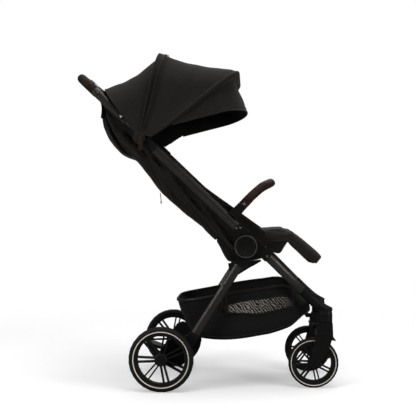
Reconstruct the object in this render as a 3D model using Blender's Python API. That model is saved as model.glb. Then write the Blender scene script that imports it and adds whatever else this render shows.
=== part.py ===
"""A compact folding stroller for one child.

The stroller stands on the floor with +X forward, +Y to the child's left and +Z up. Lengths are in metres.
Places along the floor are measured forward from the rear axle, and `at` turns them into the part's own X.
The push frame, the front legs and the rear legs meet at a round hub on each side, and fold about it.
"""
import math

import bmesh
import bpy
from mathutils import Matrix, Vector

# Overall layout
REAR_AXLE_TO_CENTRE = 0.1472
REAR_WHEEL_RADIUS = 0.105
FRONT_WHEEL_RADIUS = 0.0824
WHEELBASE = 0.497
CASTER_TRAIL = 0.039
REAR_WHEEL_Y = 0.2425
FRONT_WHEEL_Y = 0.148
REAR_TYRE_WIDTH = 0.035
FRONT_TYRE_WIDTH = 0.027
WHEEL_STEPS = 28
GAP = 0.0003

# Hub on each side, and the three tube lines that meet at it
HUB_FORWARD = 0.274
HUB_HEIGHT = 0.470
FRAME_Y = 0.2215
PUSH_ANGLE = math.radians(136.3)
FRONT_LEG_ANGLE = math.radians(-43.7)
REAR_LEG_ANGLE = math.radians(-122.4)
FRONT_LINE_OFFSET = 0.025
REAR_LINE_OFFSET = 0.0134
KNUCKLE_RADIUS = 0.036
HUB_CAP_RADIUS = 0.0385
HUB_PIN_RADIUS = 0.0055
TUBE_DEEP = 0.030
TUBE_THICK = 0.020
SOCKET_WALL = 0.003

# Layers of the hub, as distances from the centre plane
REAR_KNUCKLE = (0.2065, 0.2170)
PUSH_KNUCKLE = (0.2175, 0.2280)
FRONT_KNUCKLE = (0.2285, 0.2388)
HUB_CAP = (0.2393, 0.2500)

# Push handle, measured up the push line from the hub's foot point
UPPER_TUBE_END = 0.452
CANOPY_MOUNT_END = 0.512
SNAP_RING = 0.585
COLLAR = (0.690, 0.708)
HANDLE_BAR = 0.773
INNER_TUBE_RADIUS = 0.00825
GRIP_RADIUS = 0.015
HANDLE_CORNER_RADIUS = 0.040

# Guard bar in front of the child
GUARD_PLACE = 0.0995
GUARD_SOCKET_REACH = 0.062
GUARD_BAR_START = 0.0885
GUARD_BAR_RADIUS = 0.0145
GUARD_FRONT = (0.361, 0.682)

# Canopy
CANOPY_PIVOT = (-0.072, 0.822)
CANOPY_SIDE_Y = 0.2405
CANOPY_THICK = 0.004
CANOPY_CORNER = 0.095
RIB_START = 0.017
BOW_CENTRE = Vector((0.030, 0, -0.006))
VISOR_CORNER = Vector((0.0715, 0, 0.0463))

# Seat
SEAT_HALF_WIDTH = 0.163
BACK_HINGE = (0.190, 0.492)
CALF_HINGE = (0.424, 0.494)

AXIS_Y = Vector((0, 1, 0))
FRONT_AXLE = (WHEELBASE, FRONT_WHEEL_RADIUS)
REAR_AXLE = (0.0, REAR_WHEEL_RADIUS)
CASTER_FORWARD = WHEELBASE + CASTER_TRAIL


# Places and directions
def at(forward, height, y=0.0):
    """A point by its distance forward of the rear axle, its height and its Y."""
    return Vector((forward - REAR_AXLE_TO_CENTRE, y, height))


def heading(angle):
    """The unit vector at this angle above +X in a side view."""
    return Vector((math.cos(angle), 0, math.sin(angle)))


HUB = at(HUB_FORWARD, HUB_HEIGHT)
PUSH_DIR = heading(PUSH_ANGLE)
FRONT_DIR = heading(FRONT_LEG_ANGLE)
REAR_DIR = heading(REAR_LEG_ANGLE)
FRONT_SIDE = heading(PUSH_ANGLE - math.pi / 2)
REAR_LEG_SIDE = heading(REAR_LEG_ANGLE + math.pi / 2)
PUSH_FOOT = HUB + FRONT_SIDE * FRONT_LINE_OFFSET
REAR_FOOT = HUB + REAR_LEG_SIDE * REAR_LINE_OFFSET


def on_push_line(distance, y=0.0, out=0.0):
    """A point up the push line, moved out to its front side."""
    return PUSH_FOOT + PUSH_DIR * distance + FRONT_SIDE * out + AXIS_Y * y


def on_front_line(distance, y=0.0):
    """A point down the front leg's line."""
    return PUSH_FOOT + FRONT_DIR * distance + AXIS_Y * y


def on_rear_line(distance, y=0.0):
    """A point down the rear leg's line."""
    return REAR_FOOT + REAR_DIR * distance + AXIS_Y * y


# Outlines
def oval(half_a, half_b, sides, power=2.0):
    """Points of a superellipse, as pairs, anticlockwise."""
    points = []
    for k in range(sides):
        turn = 2 * math.pi * (k + 0.5) / sides
        c, s = math.cos(turn), math.sin(turn)
        a = math.copysign(abs(c) ** (2 / power), c) * half_a
        b = math.copysign(abs(s) ** (2 / power), s) * half_b
        points.append((a, b))
    return points


def arc(centre, radius, start, end, steps):
    """Points of an arc in a side view, as Vectors, from one angle to another in degrees."""
    turns = [math.radians(start + (end - start) * k / steps) for k in range(steps + 1)]
    return [centre + heading(turn) * radius for turn in turns]


def smooth(points, per_span):
    """A Catmull-Rom curve through these points."""
    ends = [points[0] * 2 - points[1]] + list(points) + [points[-1] * 2 - points[-2]]
    curve = []
    for k in range(len(points) - 1):
        a, b, c, d = ends[k : k + 4]
        for j in range(per_span):
            t = j / per_span
            curve.append(
                0.5 * (2 * b + (c - a) * t + (2 * a - 5 * b + 4 * c - d) * t * t + (3 * b - a - 3 * c + d) * t ** 3)
            )
    return curve + [points[-1]]


# Meshes
def skin(rings, closed=False, strips=False):
    """A mesh over rings of equally many points, closed into a loop or capped at both ends.

    A cap is one face, or strips from side to side where the ring isn't flat.
    """
    mesh = bmesh.new()
    made = [[mesh.verts.new(p) for p in ring] for ring in rings]
    count = len(made[0])
    spans = len(made) if closed else len(made) - 1
    for k in range(spans):
        low, high = made[k], made[(k + 1) % len(made)]
        for j in range(count):
            i = (j + 1) % count
            mesh.faces.new((low[j], low[i], high[i], high[j]))
    for ring in [] if closed else [made[0], made[-1]]:
        if not strips:
            mesh.faces.new(ring)
            continue
        for j in range(count // 2 - 1):
            mesh.faces.new((ring[j], ring[j + 1], ring[count - 2 - j], ring[count - 1 - j]))
    bmesh.ops.recalc_face_normals(mesh, faces=mesh.faces)
    return mesh


def frames(path, first):
    """A tangent, a normal and a binormal at each point of a path, carried along without twist."""
    result = []
    normal = first
    for k, point in enumerate(path):
        before = path[max(k - 1, 0)]
        after = path[min(k + 1, len(path) - 1)]
        tangent = (after - before).normalized()
        normal = (normal - tangent * normal.dot(tangent)).normalized()
        result.append((point, normal, tangent.cross(normal)))
    return result


def ring_on(frame, outline):
    """An outline laid across a path at one of its frames."""
    point, normal, binormal = frame
    return [point + normal * a + binormal * b for a, b in outline]


def rod(path, outline, first=AXIS_Y):
    """A solid bar that follows a path. The outline's first axis starts along `first`."""
    return skin([ring_on(f, outline) for f in frames(path, first)])


def tapered(path, outlines, first=AXIS_Y):
    """A solid bar whose outline changes along its path."""
    return skin([ring_on(f, o) for f, o in zip(frames(path, first), outlines)])


def sleeve(path, outer, inner, first=AXIS_Y):
    """A tube with a bore that follows a path."""
    placed = frames(path, first)
    outside = [ring_on(f, outer) for f in placed]
    inside = [ring_on(f, inner) for f in placed]
    return skin(outside + inside[::-1], closed=True)


def turned(profile, steps, centre=Vector((0, 0, 0)), ring=False, axis="Y"):
    """A body of revolution from (radius, distance along the axis) pairs. A ring's profile is a closed loop."""
    mesh = bmesh.new()
    wheels = []
    for radius, along in profile:
        if radius == 0:
            wheels.append([mesh.verts.new((0, along, 0))] * steps)
            continue
        turns = [2 * math.pi * (k + 0.5) / steps for k in range(steps)]
        wheels.append([mesh.verts.new((radius * math.cos(t), along, radius * math.sin(t))) for t in turns])
    spans = len(wheels) if ring else len(wheels) - 1
    for k in range(spans):
        low, high = wheels[k], wheels[(k + 1) % len(wheels)]
        for j in range(steps):
            i = (j + 1) % steps
            corners = list(dict.fromkeys((low[j], low[i], high[i], high[j])))
            if len(corners) > 2:
                mesh.faces.new(corners)
    bmesh.ops.recalc_face_normals(mesh, faces=mesh.faces)
    if axis == "Z":
        bmesh.ops.rotate(mesh, verts=mesh.verts, cent=(0, 0, 0), matrix=Matrix.Rotation(math.pi / 2, 3, "X"))
    bmesh.ops.translate(mesh, verts=mesh.verts, vec=centre)
    return mesh


def plate(outline, low, high):
    """A flat piece with a side-view outline, between two distances along Y."""
    near = [Vector((p.x, low, p.z)) for p in outline]
    far = [Vector((p.x, high, p.z)) for p in outline]
    return skin([near, far])


def drum(centre, radius, low, high, steps=32):
    """A short cylinder across the frame, between two distances along Y."""
    return plate(arc(centre, radius, 0, 360 * (steps - 1) / steps, steps - 1), low, high)


def block(low, high):
    """A box between two corners."""
    outline = [Vector((low[0], 0, low[2])), Vector((high[0], 0, low[2]))]
    outline += [Vector((high[0], 0, high[2])), Vector((low[0], 0, high[2]))]
    return plate(outline, low[1], high[1])


def mirrored(mesh):
    """The same mesh on the other side of the centre plane."""
    other = mesh.copy()
    for vert in other.verts:
        vert.co.y = -vert.co.y
    bmesh.ops.reverse_faces(other, faces=other.faces)
    return other


def helper(mesh):
    """A temporary object that holds a mesh while solids are joined or cut."""
    data = bpy.data.meshes.new("helper")
    mesh.to_mesh(data)
    mesh.free()
    thing = bpy.data.objects.new("helper", data)
    bpy.context.scene.collection.objects.link(thing)
    return thing


def worked(mesh, joined=(), cut=()):
    """A solid with others joined to it, then others cut from it."""
    base = helper(mesh)
    others = []
    for operation, meshes in (("UNION", joined), ("DIFFERENCE", cut)):
        for other in meshes:
            tool = helper(other)
            others.append(tool)
            step = base.modifiers.new(operation.lower(), "BOOLEAN")
            step.operation = operation
            step.object = tool
    view = bpy.context.evaluated_depsgraph_get()
    result = bmesh.new()
    result.from_object(base, view)
    for thing in [base] + others:
        data = thing.data
        bpy.data.objects.remove(thing)
        bpy.data.meshes.remove(data)
    bmesh.ops.remove_doubles(result, verts=result.verts, dist=0.00001)
    return result


# Materials
def paint(name, colour, roughness, metallic=0.0):
    """A plain finish."""
    material = bpy.data.materials.new(name)
    material.use_nodes = True
    shader = material.node_tree.nodes["Principled BSDF"]
    shader.inputs["Base Color"].default_value = (*colour, 1)
    shader.inputs["Roughness"].default_value = roughness
    shader.inputs["Metallic"].default_value = metallic
    material.diffuse_color = (*colour, 1)
    return material


FINISHES = {
    "frame": ((0.035, 0.032, 0.030), 0.38, 0.7),
    "inner_tube": ((0.20, 0.19, 0.18), 0.35, 0.8),
    "plastic": ((0.028, 0.027, 0.026), 0.5, 0.0),
    "leather": ((0.075, 0.042, 0.028), 0.6, 0.0),
    "fabric": ((0.030, 0.027, 0.025), 0.9, 0.0),
    "tyre": ((0.030, 0.028, 0.027), 0.8, 0.0),
    "metal": ((0.45, 0.45, 0.45), 0.35, 1.0),
}


def add(name, mesh, finish, origin=Vector((0, 0, 0)), smooth_angle=35):
    """One named piece of the stroller, with its origin where it turns or slides."""
    bmesh.ops.translate(mesh, verts=mesh.verts, vec=-origin)
    data = bpy.data.meshes.new(name)
    mesh.to_mesh(data)
    mesh.free()
    data.materials.append(paint(f"{name}_finish", *FINISHES[finish]))
    data.shade_smooth()
    data.set_sharp_from_angle(angle=math.radians(smooth_angle))
    piece = bpy.data.objects.new(name, data)
    piece.location = origin
    bpy.context.scene.collection.objects.link(piece)
    return piece


def add_pair(name, mesh, finish, origin=Vector((0, 0, 0))):
    """A left piece and its mirror image on the right."""
    other = mirrored(mesh)
    add(f"{name}_left", mesh, finish, origin)
    add(f"{name}_right", other, finish, Vector((origin.x, -origin.y, origin.z)))


TUBE_OUTLINE = oval(TUBE_THICK / 2, TUBE_DEEP / 2, 12, 2.3)
TUBE_HOLE = oval(TUBE_THICK / 2 + GAP, TUBE_DEEP / 2 + GAP, 12, 2.3)


# The hub: three sockets whose round knuckles stack on one pin, and the cap that closes it
def socket(foot, direction, side_dir, knuckle, start, end, half_deep, taper):
    """A moulded socket for one tube. Its knuckle turns in its own layer round the hub's pin."""
    offset = (foot - HUB).dot(side_dir)
    low = FRAME_Y - TUBE_THICK / 2 - SOCKET_WALL
    high = FRAME_Y + TUBE_THICK / 2 + SOCKET_WALL
    begin, finish = foot + direction * start, foot + direction * end
    body = [begin - side_dir * half_deep, finish - side_dir * (half_deep - taper)]
    body += [finish + side_dir * (half_deep - taper), begin + side_dir * half_deep]
    arm_end = foot + direction * (start + 0.012)
    arm = [HUB - side_dir * (KNUCKLE_RADIUS * 0.75), arm_end - side_dir * half_deep]
    arm += [arm_end + side_dir * half_deep, HUB + side_dir * (offset + half_deep - 0.006)]
    tube_line = [arm_end + AXIS_Y * FRAME_Y, finish + direction * 0.02 + AXIS_Y * FRAME_Y]
    sleeve_cut = rod(tube_line, TUBE_HOLE)
    cleared = worked(plate(body, low, high), cut=[drum(HUB, KNUCKLE_RADIUS + 0.0008, low - 0.001, high + 0.001)])
    inner, outer = knuckle
    return worked(
        drum(HUB, KNUCKLE_RADIUS, inner, outer),
        joined=[plate(arm, inner + 0.0002, outer - 0.0002), cleared],
        cut=[drum(HUB, HUB_PIN_RADIUS + GAP, inner - 0.002, outer + 0.002, 12), sleeve_cut],
    )


def make_hubs():
    """Sockets, pins and caps of the two hubs."""
    add_pair("push_socket", socket(PUSH_FOOT, PUSH_DIR, FRONT_SIDE, PUSH_KNUCKLE, 0.024, 0.066, 0.0185, 0.0015),
             "plastic", HUB)
    add_pair("front_socket", socket(PUSH_FOOT, FRONT_DIR, FRONT_SIDE, FRONT_KNUCKLE, 0.024, 0.078, 0.0185, 0.0015),
             "plastic")
    add_pair("rear_socket", socket(REAR_FOOT, REAR_DIR, REAR_LEG_SIDE, REAR_KNUCKLE, 0.030, 0.064, 0.0180, 0.0015),
             "plastic", HUB)
    inner, outer = HUB_CAP
    pin_end = REAR_KNUCKLE[0] - 0.002
    profile = [(0, pin_end), (HUB_PIN_RADIUS, pin_end), (HUB_PIN_RADIUS, inner), (HUB_CAP_RADIUS, inner)]
    profile += [(HUB_CAP_RADIUS, outer - 0.0035), (HUB_CAP_RADIUS - 0.0025, outer)]
    profile += [(HUB_CAP_RADIUS - 0.0060, outer), (HUB_CAP_RADIUS - 0.0075, outer - 0.0020), (0, outer - 0.0020)]
    add_pair("hub_cap", turned(profile, 24, HUB), "plastic")


# The frame's tubes
def make_front_legs():
    """The two front legs, the boots that carry the casters, and the bar between them."""
    straight = on_front_line(0.105, FRAME_Y)
    bend = [on_front_line(0.037, FRAME_Y), on_front_line(0.078, FRAME_Y), straight]
    lower = smooth([straight, at(0.425, 0.3575, 0.2040), at(0.4575, 0.3252, 0.1880)], 3)
    add_pair("front_leg", rod(bend[:-1] + lower, TUBE_OUTLINE), "frame")
    path = smooth([at(0.4577, 0.3250, 0.1879), at(0.4960, 0.2880, 0.1660), at(0.5250, 0.2695, 0.1520),
                   at(0.5580, 0.2595, 0.1480)], 3)
    halves = [(0.0115, 0.0160), (0.0125, 0.0162), (0.0140, 0.0165), (0.0158, 0.0165), (0.0175, 0.0158)]
    halves += [(0.0190, 0.0145), (0.0196, 0.0125), (0.0192, 0.0100), (0.0170, 0.0074), (0.0130, 0.0050)]
    boot = tapered(path, [oval(a, b, 12, 2.4) for a, b in halves])
    centre = at(CASTER_FORWARD, 0, FRONT_WHEEL_Y)
    rings = []
    for height, grow in ((0.2162, -0.0012), (0.2180, 0.0), (0.2440, 0.0), (0.2640, -0.003)):
        outline = oval(0.0235 + grow, 0.0205 + grow, 16, 2.8)
        rings.append([centre + Vector((a, b, height)) for a, b in outline])
    stem_hole = turned([(0, 0.205), (0.0063, 0.205), (0.0063, 0.2445), (0, 0.2445)], 12, centre, axis="Z")
    add_pair("front_boot", worked(boot, joined=[skin(rings)], cut=[stem_hole]), "plastic")
    reach = FRONT_WHEEL_Y - 0.0180
    height = 0.2745
    bar = rod([at(0.4960, height, -reach), at(0.4960, height, reach)], oval(0.009, 0.009, 12), Vector((0, 0, 1)))
    add("front_crossbar", bar, "frame")


def make_rear_legs():
    """The rear legs, the moulded axle housings at their feet and the axle tube between these."""
    foot_y = 0.2045
    top = on_rear_line(0.043, FRAME_Y)
    path = [top, on_rear_line(0.064, FRAME_Y), on_rear_line(0.110, 0.2200), on_rear_line(0.3640, foot_y)]
    add_pair("rear_leg", rod(path, TUBE_OUTLINE), "frame", HUB)
    axle = at(*REAR_AXLE)
    low, high = 0.1900, 0.2225
    outline = arc(axle, 0.0230, 100, 285, 10)
    outline += [at(0.030, 0.0790), at(0.062, 0.0800), at(0.074, 0.0900)]
    outline += [on_rear_line(0.3420) + REAR_LEG_SIDE * 0.0185, on_rear_line(0.3300) + REAR_LEG_SIDE * 0.0178]
    outline += [on_rear_line(0.3300) - REAR_LEG_SIDE * 0.0178, on_rear_line(0.3480) - REAR_LEG_SIDE * 0.0190]
    outline += [at(0.052, 0.1660), at(0.034, 0.1690), at(0.014, 0.1600)]
    leg_hole = rod([on_rear_line(0.300, 0.2084), on_rear_line(0.3645, foot_y)], TUBE_HOLE)
    stub = turned([(0, high - 0.004), (0.0055, high - 0.004), (0.0055, 0.2500), (0, 0.2500)], 16, axle)
    housing = worked(plate(outline, low, high), joined=[stub], cut=[leg_hole])
    add_pair("axle_housing", housing, "plastic", HUB)
    tube = rod([at(0, REAR_WHEEL_RADIUS, -low + GAP), at(0, REAR_WHEEL_RADIUS, low - GAP)], oval(0.009, 0.009, 14),
               Vector((0, 0, 1)))
    add("rear_axle_tube", tube, "frame", HUB)


def make_brake():
    """The foot pedal that turns on the axle tube."""
    axle = at(*REAR_AXLE)
    half = 0.020
    collar = turned([(0.0095, -half), (0.0140, -half), (0.0140, half), (0.0095, half)], 20, axle, ring=True)
    tread = [axle + Vector((-0.0120, 0, 0.0060)), axle + Vector((-0.0120, 0, -0.0040))]
    tread += [axle + Vector((-0.0480, 0, 0.0080)), axle + Vector((-0.0620, 0, 0.0165))]
    tread += [axle + Vector((-0.0600, 0, 0.0215)), axle + Vector((-0.0440, 0, 0.0175))]
    pedal = worked(collar, joined=[plate(tread, -0.034, 0.034)])
    add("brake_pedal", pedal, "plastic", axle)


# Wheels
def make_rim(seat, inner, hub, width, bore, spokes_low, spokes_high, spread, through):
    """A wheel centre with seven pairs of thin spokes between its hub and its rim."""
    half = width / 2
    ring = [(inner, -half + 0.0030), (seat - 0.0016, -half), (seat, -half + 0.0015), (seat, half - 0.0015)]
    ring += [(seat - 0.0016, half), (inner, half - 0.0030)]
    rim = turned(ring, WHEEL_STEPS, ring=True)
    if through:
        core = [(bore, -half - 0.001), (hub, -half - 0.001), (hub, half + 0.001), (bore, half + 0.001)]
        centre = turned(core, 14, ring=True)
    else:
        core = [(0, 0.0095), (bore, 0.0095), (bore, -half - 0.0010), (hub * 0.8, -half - 0.0010)]
        core += [(hub, -half + 0.0010), (hub, half), (hub * 0.78, half + 0.0015), (0, half + 0.0020)]
        centre = turned(core, 14)
    spokes = bmesh.new()
    for k in range(7):
        turn = math.pi + 2 * math.pi * k / 7
        out, across = heading(turn), heading(turn + math.pi / 2)
        for side in (-1, 1):
            foot = out * (hub - 0.0014) + across * (spread[0] * side)
            tip = out * (inner + 0.0022) + across * (spread[1] * side)
            rings = []
            for place, wide in ((foot, 0.0025), (tip, 0.0022)):
                corners = ((-wide, spokes_low), (wide, spokes_low), (wide, spokes_high), (-wide, spokes_high))
                rings.append([place + across * a + AXIS_Y * b for a, b in corners])
            bar = skin(rings)
            data = bpy.data.meshes.new("bar")
            bar.to_mesh(data)
            bar.free()
            spokes.from_mesh(data)
            bpy.data.meshes.remove(data)
    return worked(rim, joined=[spokes, centre])


def tyre_profile(radius, seat, width):
    """The section of a solid foam tyre with rounded shoulders. Its facets touch the tyre's real radius."""
    half = width / 2
    tread = radius / math.cos(math.pi / WHEEL_STEPS)
    deep = tread - seat
    right = [(seat, half - 0.0025), (seat + deep * 0.35, half), (seat + deep * 0.76, half * 0.76), (tread, half * 0.34)]
    return right + [(r, -y) for r, y in reversed(right)]


def make_wheels():
    """Two rear wheels on the housings and two smaller ones in the caster forks."""
    for name, radius, seat, inner, hub, bore, width, centre, spread, through, low, high in (
        ("rear", REAR_WHEEL_RADIUS, 0.0913, 0.0770, 0.0210, 0.0058, REAR_TYRE_WIDTH, at(*REAR_AXLE, REAR_WHEEL_Y),
         (0.0055, 0.0080), False, -0.0125, 0.0110),
        ("front", FRONT_WHEEL_RADIUS, 0.0745, 0.0583, 0.0195, 0.0043, FRONT_TYRE_WIDTH, at(*FRONT_AXLE, FRONT_WHEEL_Y),
         (0.0048, 0.0060), True, -0.0080, 0.0080),
    ):
        rim = make_rim(seat - GAP, inner, hub, width - 0.005, bore, low, high, spread, through)
        bmesh.ops.translate(rim, verts=rim.verts, vec=centre)
        add_pair(f"{name}_rim", rim, "plastic", centre)
        tyre = turned(tyre_profile(radius, seat, width), WHEEL_STEPS, centre, ring=True)
        add_pair(f"{name}_tyre", tyre, "tyre", centre)


def make_casters():
    """The forks that swivel under the boots, and the lever that locks each one."""
    axle = at(*FRONT_AXLE, FRONT_WHEEL_Y)
    stem = at(CASTER_FORWARD, 0, FRONT_WHEEL_Y)
    clear = FRONT_TYRE_WIDTH / 2 + 0.002
    arm_thick = 0.0070
    edge = clear + arm_thick
    outline = [at(0.556, 0.1600), at(0.548, 0.1310), at(0.5290, 0.0970)]
    outline += arc(at(*FRONT_AXLE), 0.0165, -25, -190, 9)
    outline += [at(0.4900, 0.1160), at(0.5000, 0.1500), at(0.5050, 0.1760), at(0.5120, 0.1850), at(0.5560, 0.1850)]
    arms = [plate(outline, FRONT_WHEEL_Y + clear, FRONT_WHEEL_Y + edge)]
    arms.append(plate(outline, FRONT_WHEEL_Y - edge, FRONT_WHEEL_Y - clear))
    crown_side = [at(0.5125, 0.2155), at(0.5060, 0.1980), at(0.5040, 0.1760), at(0.5260, 0.1690)]
    crown_side += [at(0.5520, 0.1600), at(0.5710, 0.1570), at(0.5610, 0.1700), at(0.5590, 0.2155)]
    crown = plate(crown_side, FRONT_WHEEL_Y - edge + 0.0004, FRONT_WHEEL_Y + edge - 0.0004)
    lug = block(at(0.4925, 0.1960, FRONT_WHEEL_Y - 0.0045), at(0.5080, 0.2105, FRONT_WHEEL_Y + 0.0045))
    post = turned([(0, 0.210), (0.0060, 0.210), (0.0060, 0.2440), (0, 0.2440)], 16, stem, axis="Z")
    reach = edge - 0.001
    shaft = turned([(0, -reach), (0.0040, -reach), (0.0040, reach), (0, reach)], 14, axle)
    add_pair("caster_fork", worked(crown, joined=arms + [lug, post, shaft]), "plastic", stem)
    hinge = at(0.4965, 0.2035, FRONT_WHEEL_Y)
    thumb = [at(0.5010, 0.2118), at(0.4905, 0.2125), at(0.4790, 0.2232), at(0.4850, 0.2060), at(0.4915, 0.1960)]
    lever = worked(plate(thumb, FRONT_WHEEL_Y - 0.0110, FRONT_WHEEL_Y + 0.0110),
                   cut=[block(at(0.4900, 0.1800, FRONT_WHEEL_Y - 0.0050), at(0.5200, 0.2300, FRONT_WHEEL_Y + 0.0050))])
    add_pair("swivel_lever", lever, "plastic", hinge)


# The push frame and its handle
def make_push_frame():
    """The two upper tubes, hollow for the handle, and the moulded canopy mounts at their ends."""
    bore = oval(INNER_TUBE_RADIUS + 2 * GAP, INNER_TUBE_RADIUS + 2 * GAP, 12)
    path = [on_push_line(0.037, FRAME_Y), on_push_line(UPPER_TUBE_END, FRAME_Y)]
    add_pair("upper_tube", sleeve(path, TUBE_OUTLINE, bore), "frame", HUB)
    start, end = UPPER_TUBE_END - 0.020, CANOPY_MOUNT_END
    body = [on_push_line(start, FRAME_Y), on_push_line(UPPER_TUBE_END + 0.004, FRAME_Y)]
    body += [on_push_line(end - 0.012, FRAME_Y), on_push_line(end, FRAME_Y)]
    halves = [(0.0126, 0.0176), (0.0126, 0.0176), (0.0126, 0.0150), (0.0118, 0.0118)]
    shell = tapered(body, [oval(a, b, 14, 2.3) for a, b in halves])
    pivot = at(*CANOPY_PIVOT)
    boss = drum(pivot, 0.0120, FRAME_Y - 0.004, 0.2360, 20)
    peg = drum(pivot, 0.0040, 0.2340, 0.2488, 10)
    tube_hole = rod([on_push_line(start - 0.02, FRAME_Y), on_push_line(UPPER_TUBE_END + GAP, FRAME_Y)], TUBE_HOLE)
    rod_hole = rod([on_push_line(start, FRAME_Y), on_push_line(end + 0.02, FRAME_Y)], bore)
    add_pair("canopy_mount", worked(shell, joined=[boss, peg], cut=[tube_hole, rod_hole]), "plastic", HUB)


def handle_path(start, stop_y):
    """The left half of the handle: up the push line, round the corner and along the bar."""
    radius = HANDLE_CORNER_RADIUS
    path = [on_push_line(start, FRAME_Y), on_push_line(HANDLE_BAR - radius, FRAME_Y)]
    centre = on_push_line(HANDLE_BAR - radius, FRAME_Y - radius)
    for k in range(1, 7):
        turn = math.pi / 2 * k / 6
        path.append(centre + AXIS_Y * (radius * math.cos(turn)) + PUSH_DIR * (radius * math.sin(turn)))
    return path + [on_push_line(HANDLE_BAR, stop_y)]


def make_handle():
    """The telescoping handle: tubes, collars, grips, the fold trigger and the height buttons."""
    round_tube = oval(INNER_TUBE_RADIUS, INNER_TUBE_RADIUS, 10)
    half = handle_path(0.385, 0.0)
    whole = half[:-1] + [Vector((p.x, -p.y, p.z)) for p in reversed(half[:-1])]
    tube = rod(whole, round_tube, FRONT_SIDE)
    collar_low, collar_high = COLLAR
    joined = []
    cut = []
    for side in (-1, 1):
        y = FRAME_Y * side
        collar = [on_push_line(collar_low, y), on_push_line(collar_low + 0.004, y), on_push_line(collar_high, y)]
        joined.append(tapered(collar, [oval(r, r, 14) for r in (0.0115, 0.0143, 0.0150)]))
        ring = [on_push_line(SNAP_RING - 0.010, y), on_push_line(SNAP_RING + 0.010, y)]
        joined.append(rod(ring, oval(0.0100, 0.0100, 14)))
        low, high = sorted((side * (FRAME_Y + 0.0030), side * (FRAME_Y + 0.0150)))
        cut.append(drum(on_push_line(SNAP_RING), 0.0045, low, high, 10))
    bar = on_push_line(HANDLE_BAR)
    housing = [bar + FRONT_SIDE * a + PUSH_DIR * b for a, b in oval(0.0170, 0.0165, 16, 2.4)]
    joined.append(plate(housing, -0.0400, 0.0400))
    pocket = [bar + FRONT_SIDE * a + PUSH_DIR * b for a, b in ((-0.0082, -0.030), (0.0082, -0.030), (0.0082, -0.0050),
                                                              (-0.0082, -0.0050))]
    cut.append(plate(pocket, -0.0310, 0.0310))
    add("handle_frame", worked(tube, joined=joined, cut=cut), "inner_tube", HUB)
    grip_outer = oval(GRIP_RADIUS, GRIP_RADIUS, 12)
    grip_inner = oval(INNER_TUBE_RADIUS + 2 * GAP, INNER_TUBE_RADIUS + 2 * GAP, 12)
    grip = sleeve(handle_path(collar_high + GAP, 0.0400 + GAP), grip_outer, grip_inner, FRONT_SIDE)
    add_pair("handle_grip", grip, "leather", HUB)
    trigger = [bar + FRONT_SIDE * a + PUSH_DIR * b for a, b in ((-0.0078, -0.0215), (0.0078, -0.0215),
                                                               (0.0078, -0.0105), (-0.0078, -0.0105))]
    add("fold_trigger", plate(trigger, -0.0305, 0.0305), "plastic", bar)
    button = turned([(0, 0.0060), (0.0042, 0.0060), (0.0042, 0.0115), (0.0030, 0.0128), (0, 0.0128)], 10,
                    on_push_line(SNAP_RING, FRAME_Y))
    add_pair("height_button", button, "metal", on_push_line(SNAP_RING, FRAME_Y + 0.0090))


# The guard bar
def make_guard():
    """Sockets on the push frame, the covered bar that plugs into them and its release buttons."""
    base = on_push_line(GUARD_PLACE, FRAME_Y)

    def across(reach, half):
        return [base + FRONT_SIDE * reach + PUSH_DIR * half, base + FRONT_SIDE * reach - PUSH_DIR * half]

    start = TUBE_DEEP / 2 + GAP
    low, high = FRAME_Y - 0.0110, FRAME_Y + 0.0110
    a, b = across(start, 0.0170)
    c, d = across(GUARD_SOCKET_REACH, 0.0150)
    e, f = across(GUARD_SOCKET_REACH - 0.037, 0.0082)
    g, h = across(GUARD_SOCKET_REACH + 0.01, 0.0082)
    clasp = drum(base, TUBE_DEEP / 2 + 0.0040, FRAME_Y - TUBE_THICK / 2 - 0.0030, FRAME_Y - TUBE_THICK / 2 - GAP, 20)
    pocket = plate([e, g, h, f], FRAME_Y - 0.0048, FRAME_Y + 0.0048)
    arm = plate([a, c, d, b], FRAME_Y - 0.0130, high)
    foot = plate([base + PUSH_DIR * 0.017 + FRONT_SIDE * 0.02, base - PUSH_DIR * 0.017 + FRONT_SIDE * 0.02,
                  base - PUSH_DIR * 0.013, base + PUSH_DIR * 0.013], FRAME_Y - 0.0130, FRAME_Y - 0.0105)
    add_pair("guard_socket", worked(arm, joined=[foot, clasp], cut=[pocket]), "plastic", HUB)
    i, j = across(GUARD_SOCKET_REACH + GAP, 0.0150)
    k, m = across(GUARD_BAR_START + 0.004, 0.0150)
    fitting = plate([i, k, m, j], low, high)
    n, o = across(GUARD_SOCKET_REACH - 0.036, 0.0078)
    p, q = across(GUARD_SOCKET_REACH + 0.004, 0.0078)
    tongue = plate([n, p, q, o], FRAME_Y - 0.0044, FRAME_Y + 0.0044)
    pocket_out = drum(base + FRONT_SIDE * 0.0700, 0.0048, FRAME_Y + 0.0060, high + 0.001, 14)
    front = at(*GUARD_FRONT)
    end = base + FRONT_SIDE * GUARD_BAR_START
    reach = end + FRONT_SIDE * 0.020
    corner = at(0.3270, 0.6640, 0.190)
    near = [end, reach, corner, at(0.3470, 0.6750, 0.130), at(0.3580, 0.6806, 0.062)]
    route = near + [front] + [Vector((v.x, -v.y, v.z)) for v in reversed(near)]
    bar = rod(smooth(route, 2), oval(0.0125, GUARD_BAR_RADIUS, 14, 2.2), PUSH_DIR.cross(FRONT_SIDE))
    joined = [fitting, tongue]
    joined += [mirrored(fitting), mirrored(tongue)]
    add("guard_bar", worked(bar, joined=joined, cut=[pocket_out.copy(), mirrored(pocket_out)]), "leather",
        Vector((base.x, 0, base.z)))
    pocket_out.free()
    place = base + FRONT_SIDE * 0.0700
    button = turned([(0, 0.0085), (0.0044, 0.0085), (0.0044, 0.0120), (0.0034, 0.0130), (0, 0.0130)], 14, place)
    add_pair("guard_button", button, "metal", place)


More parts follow.
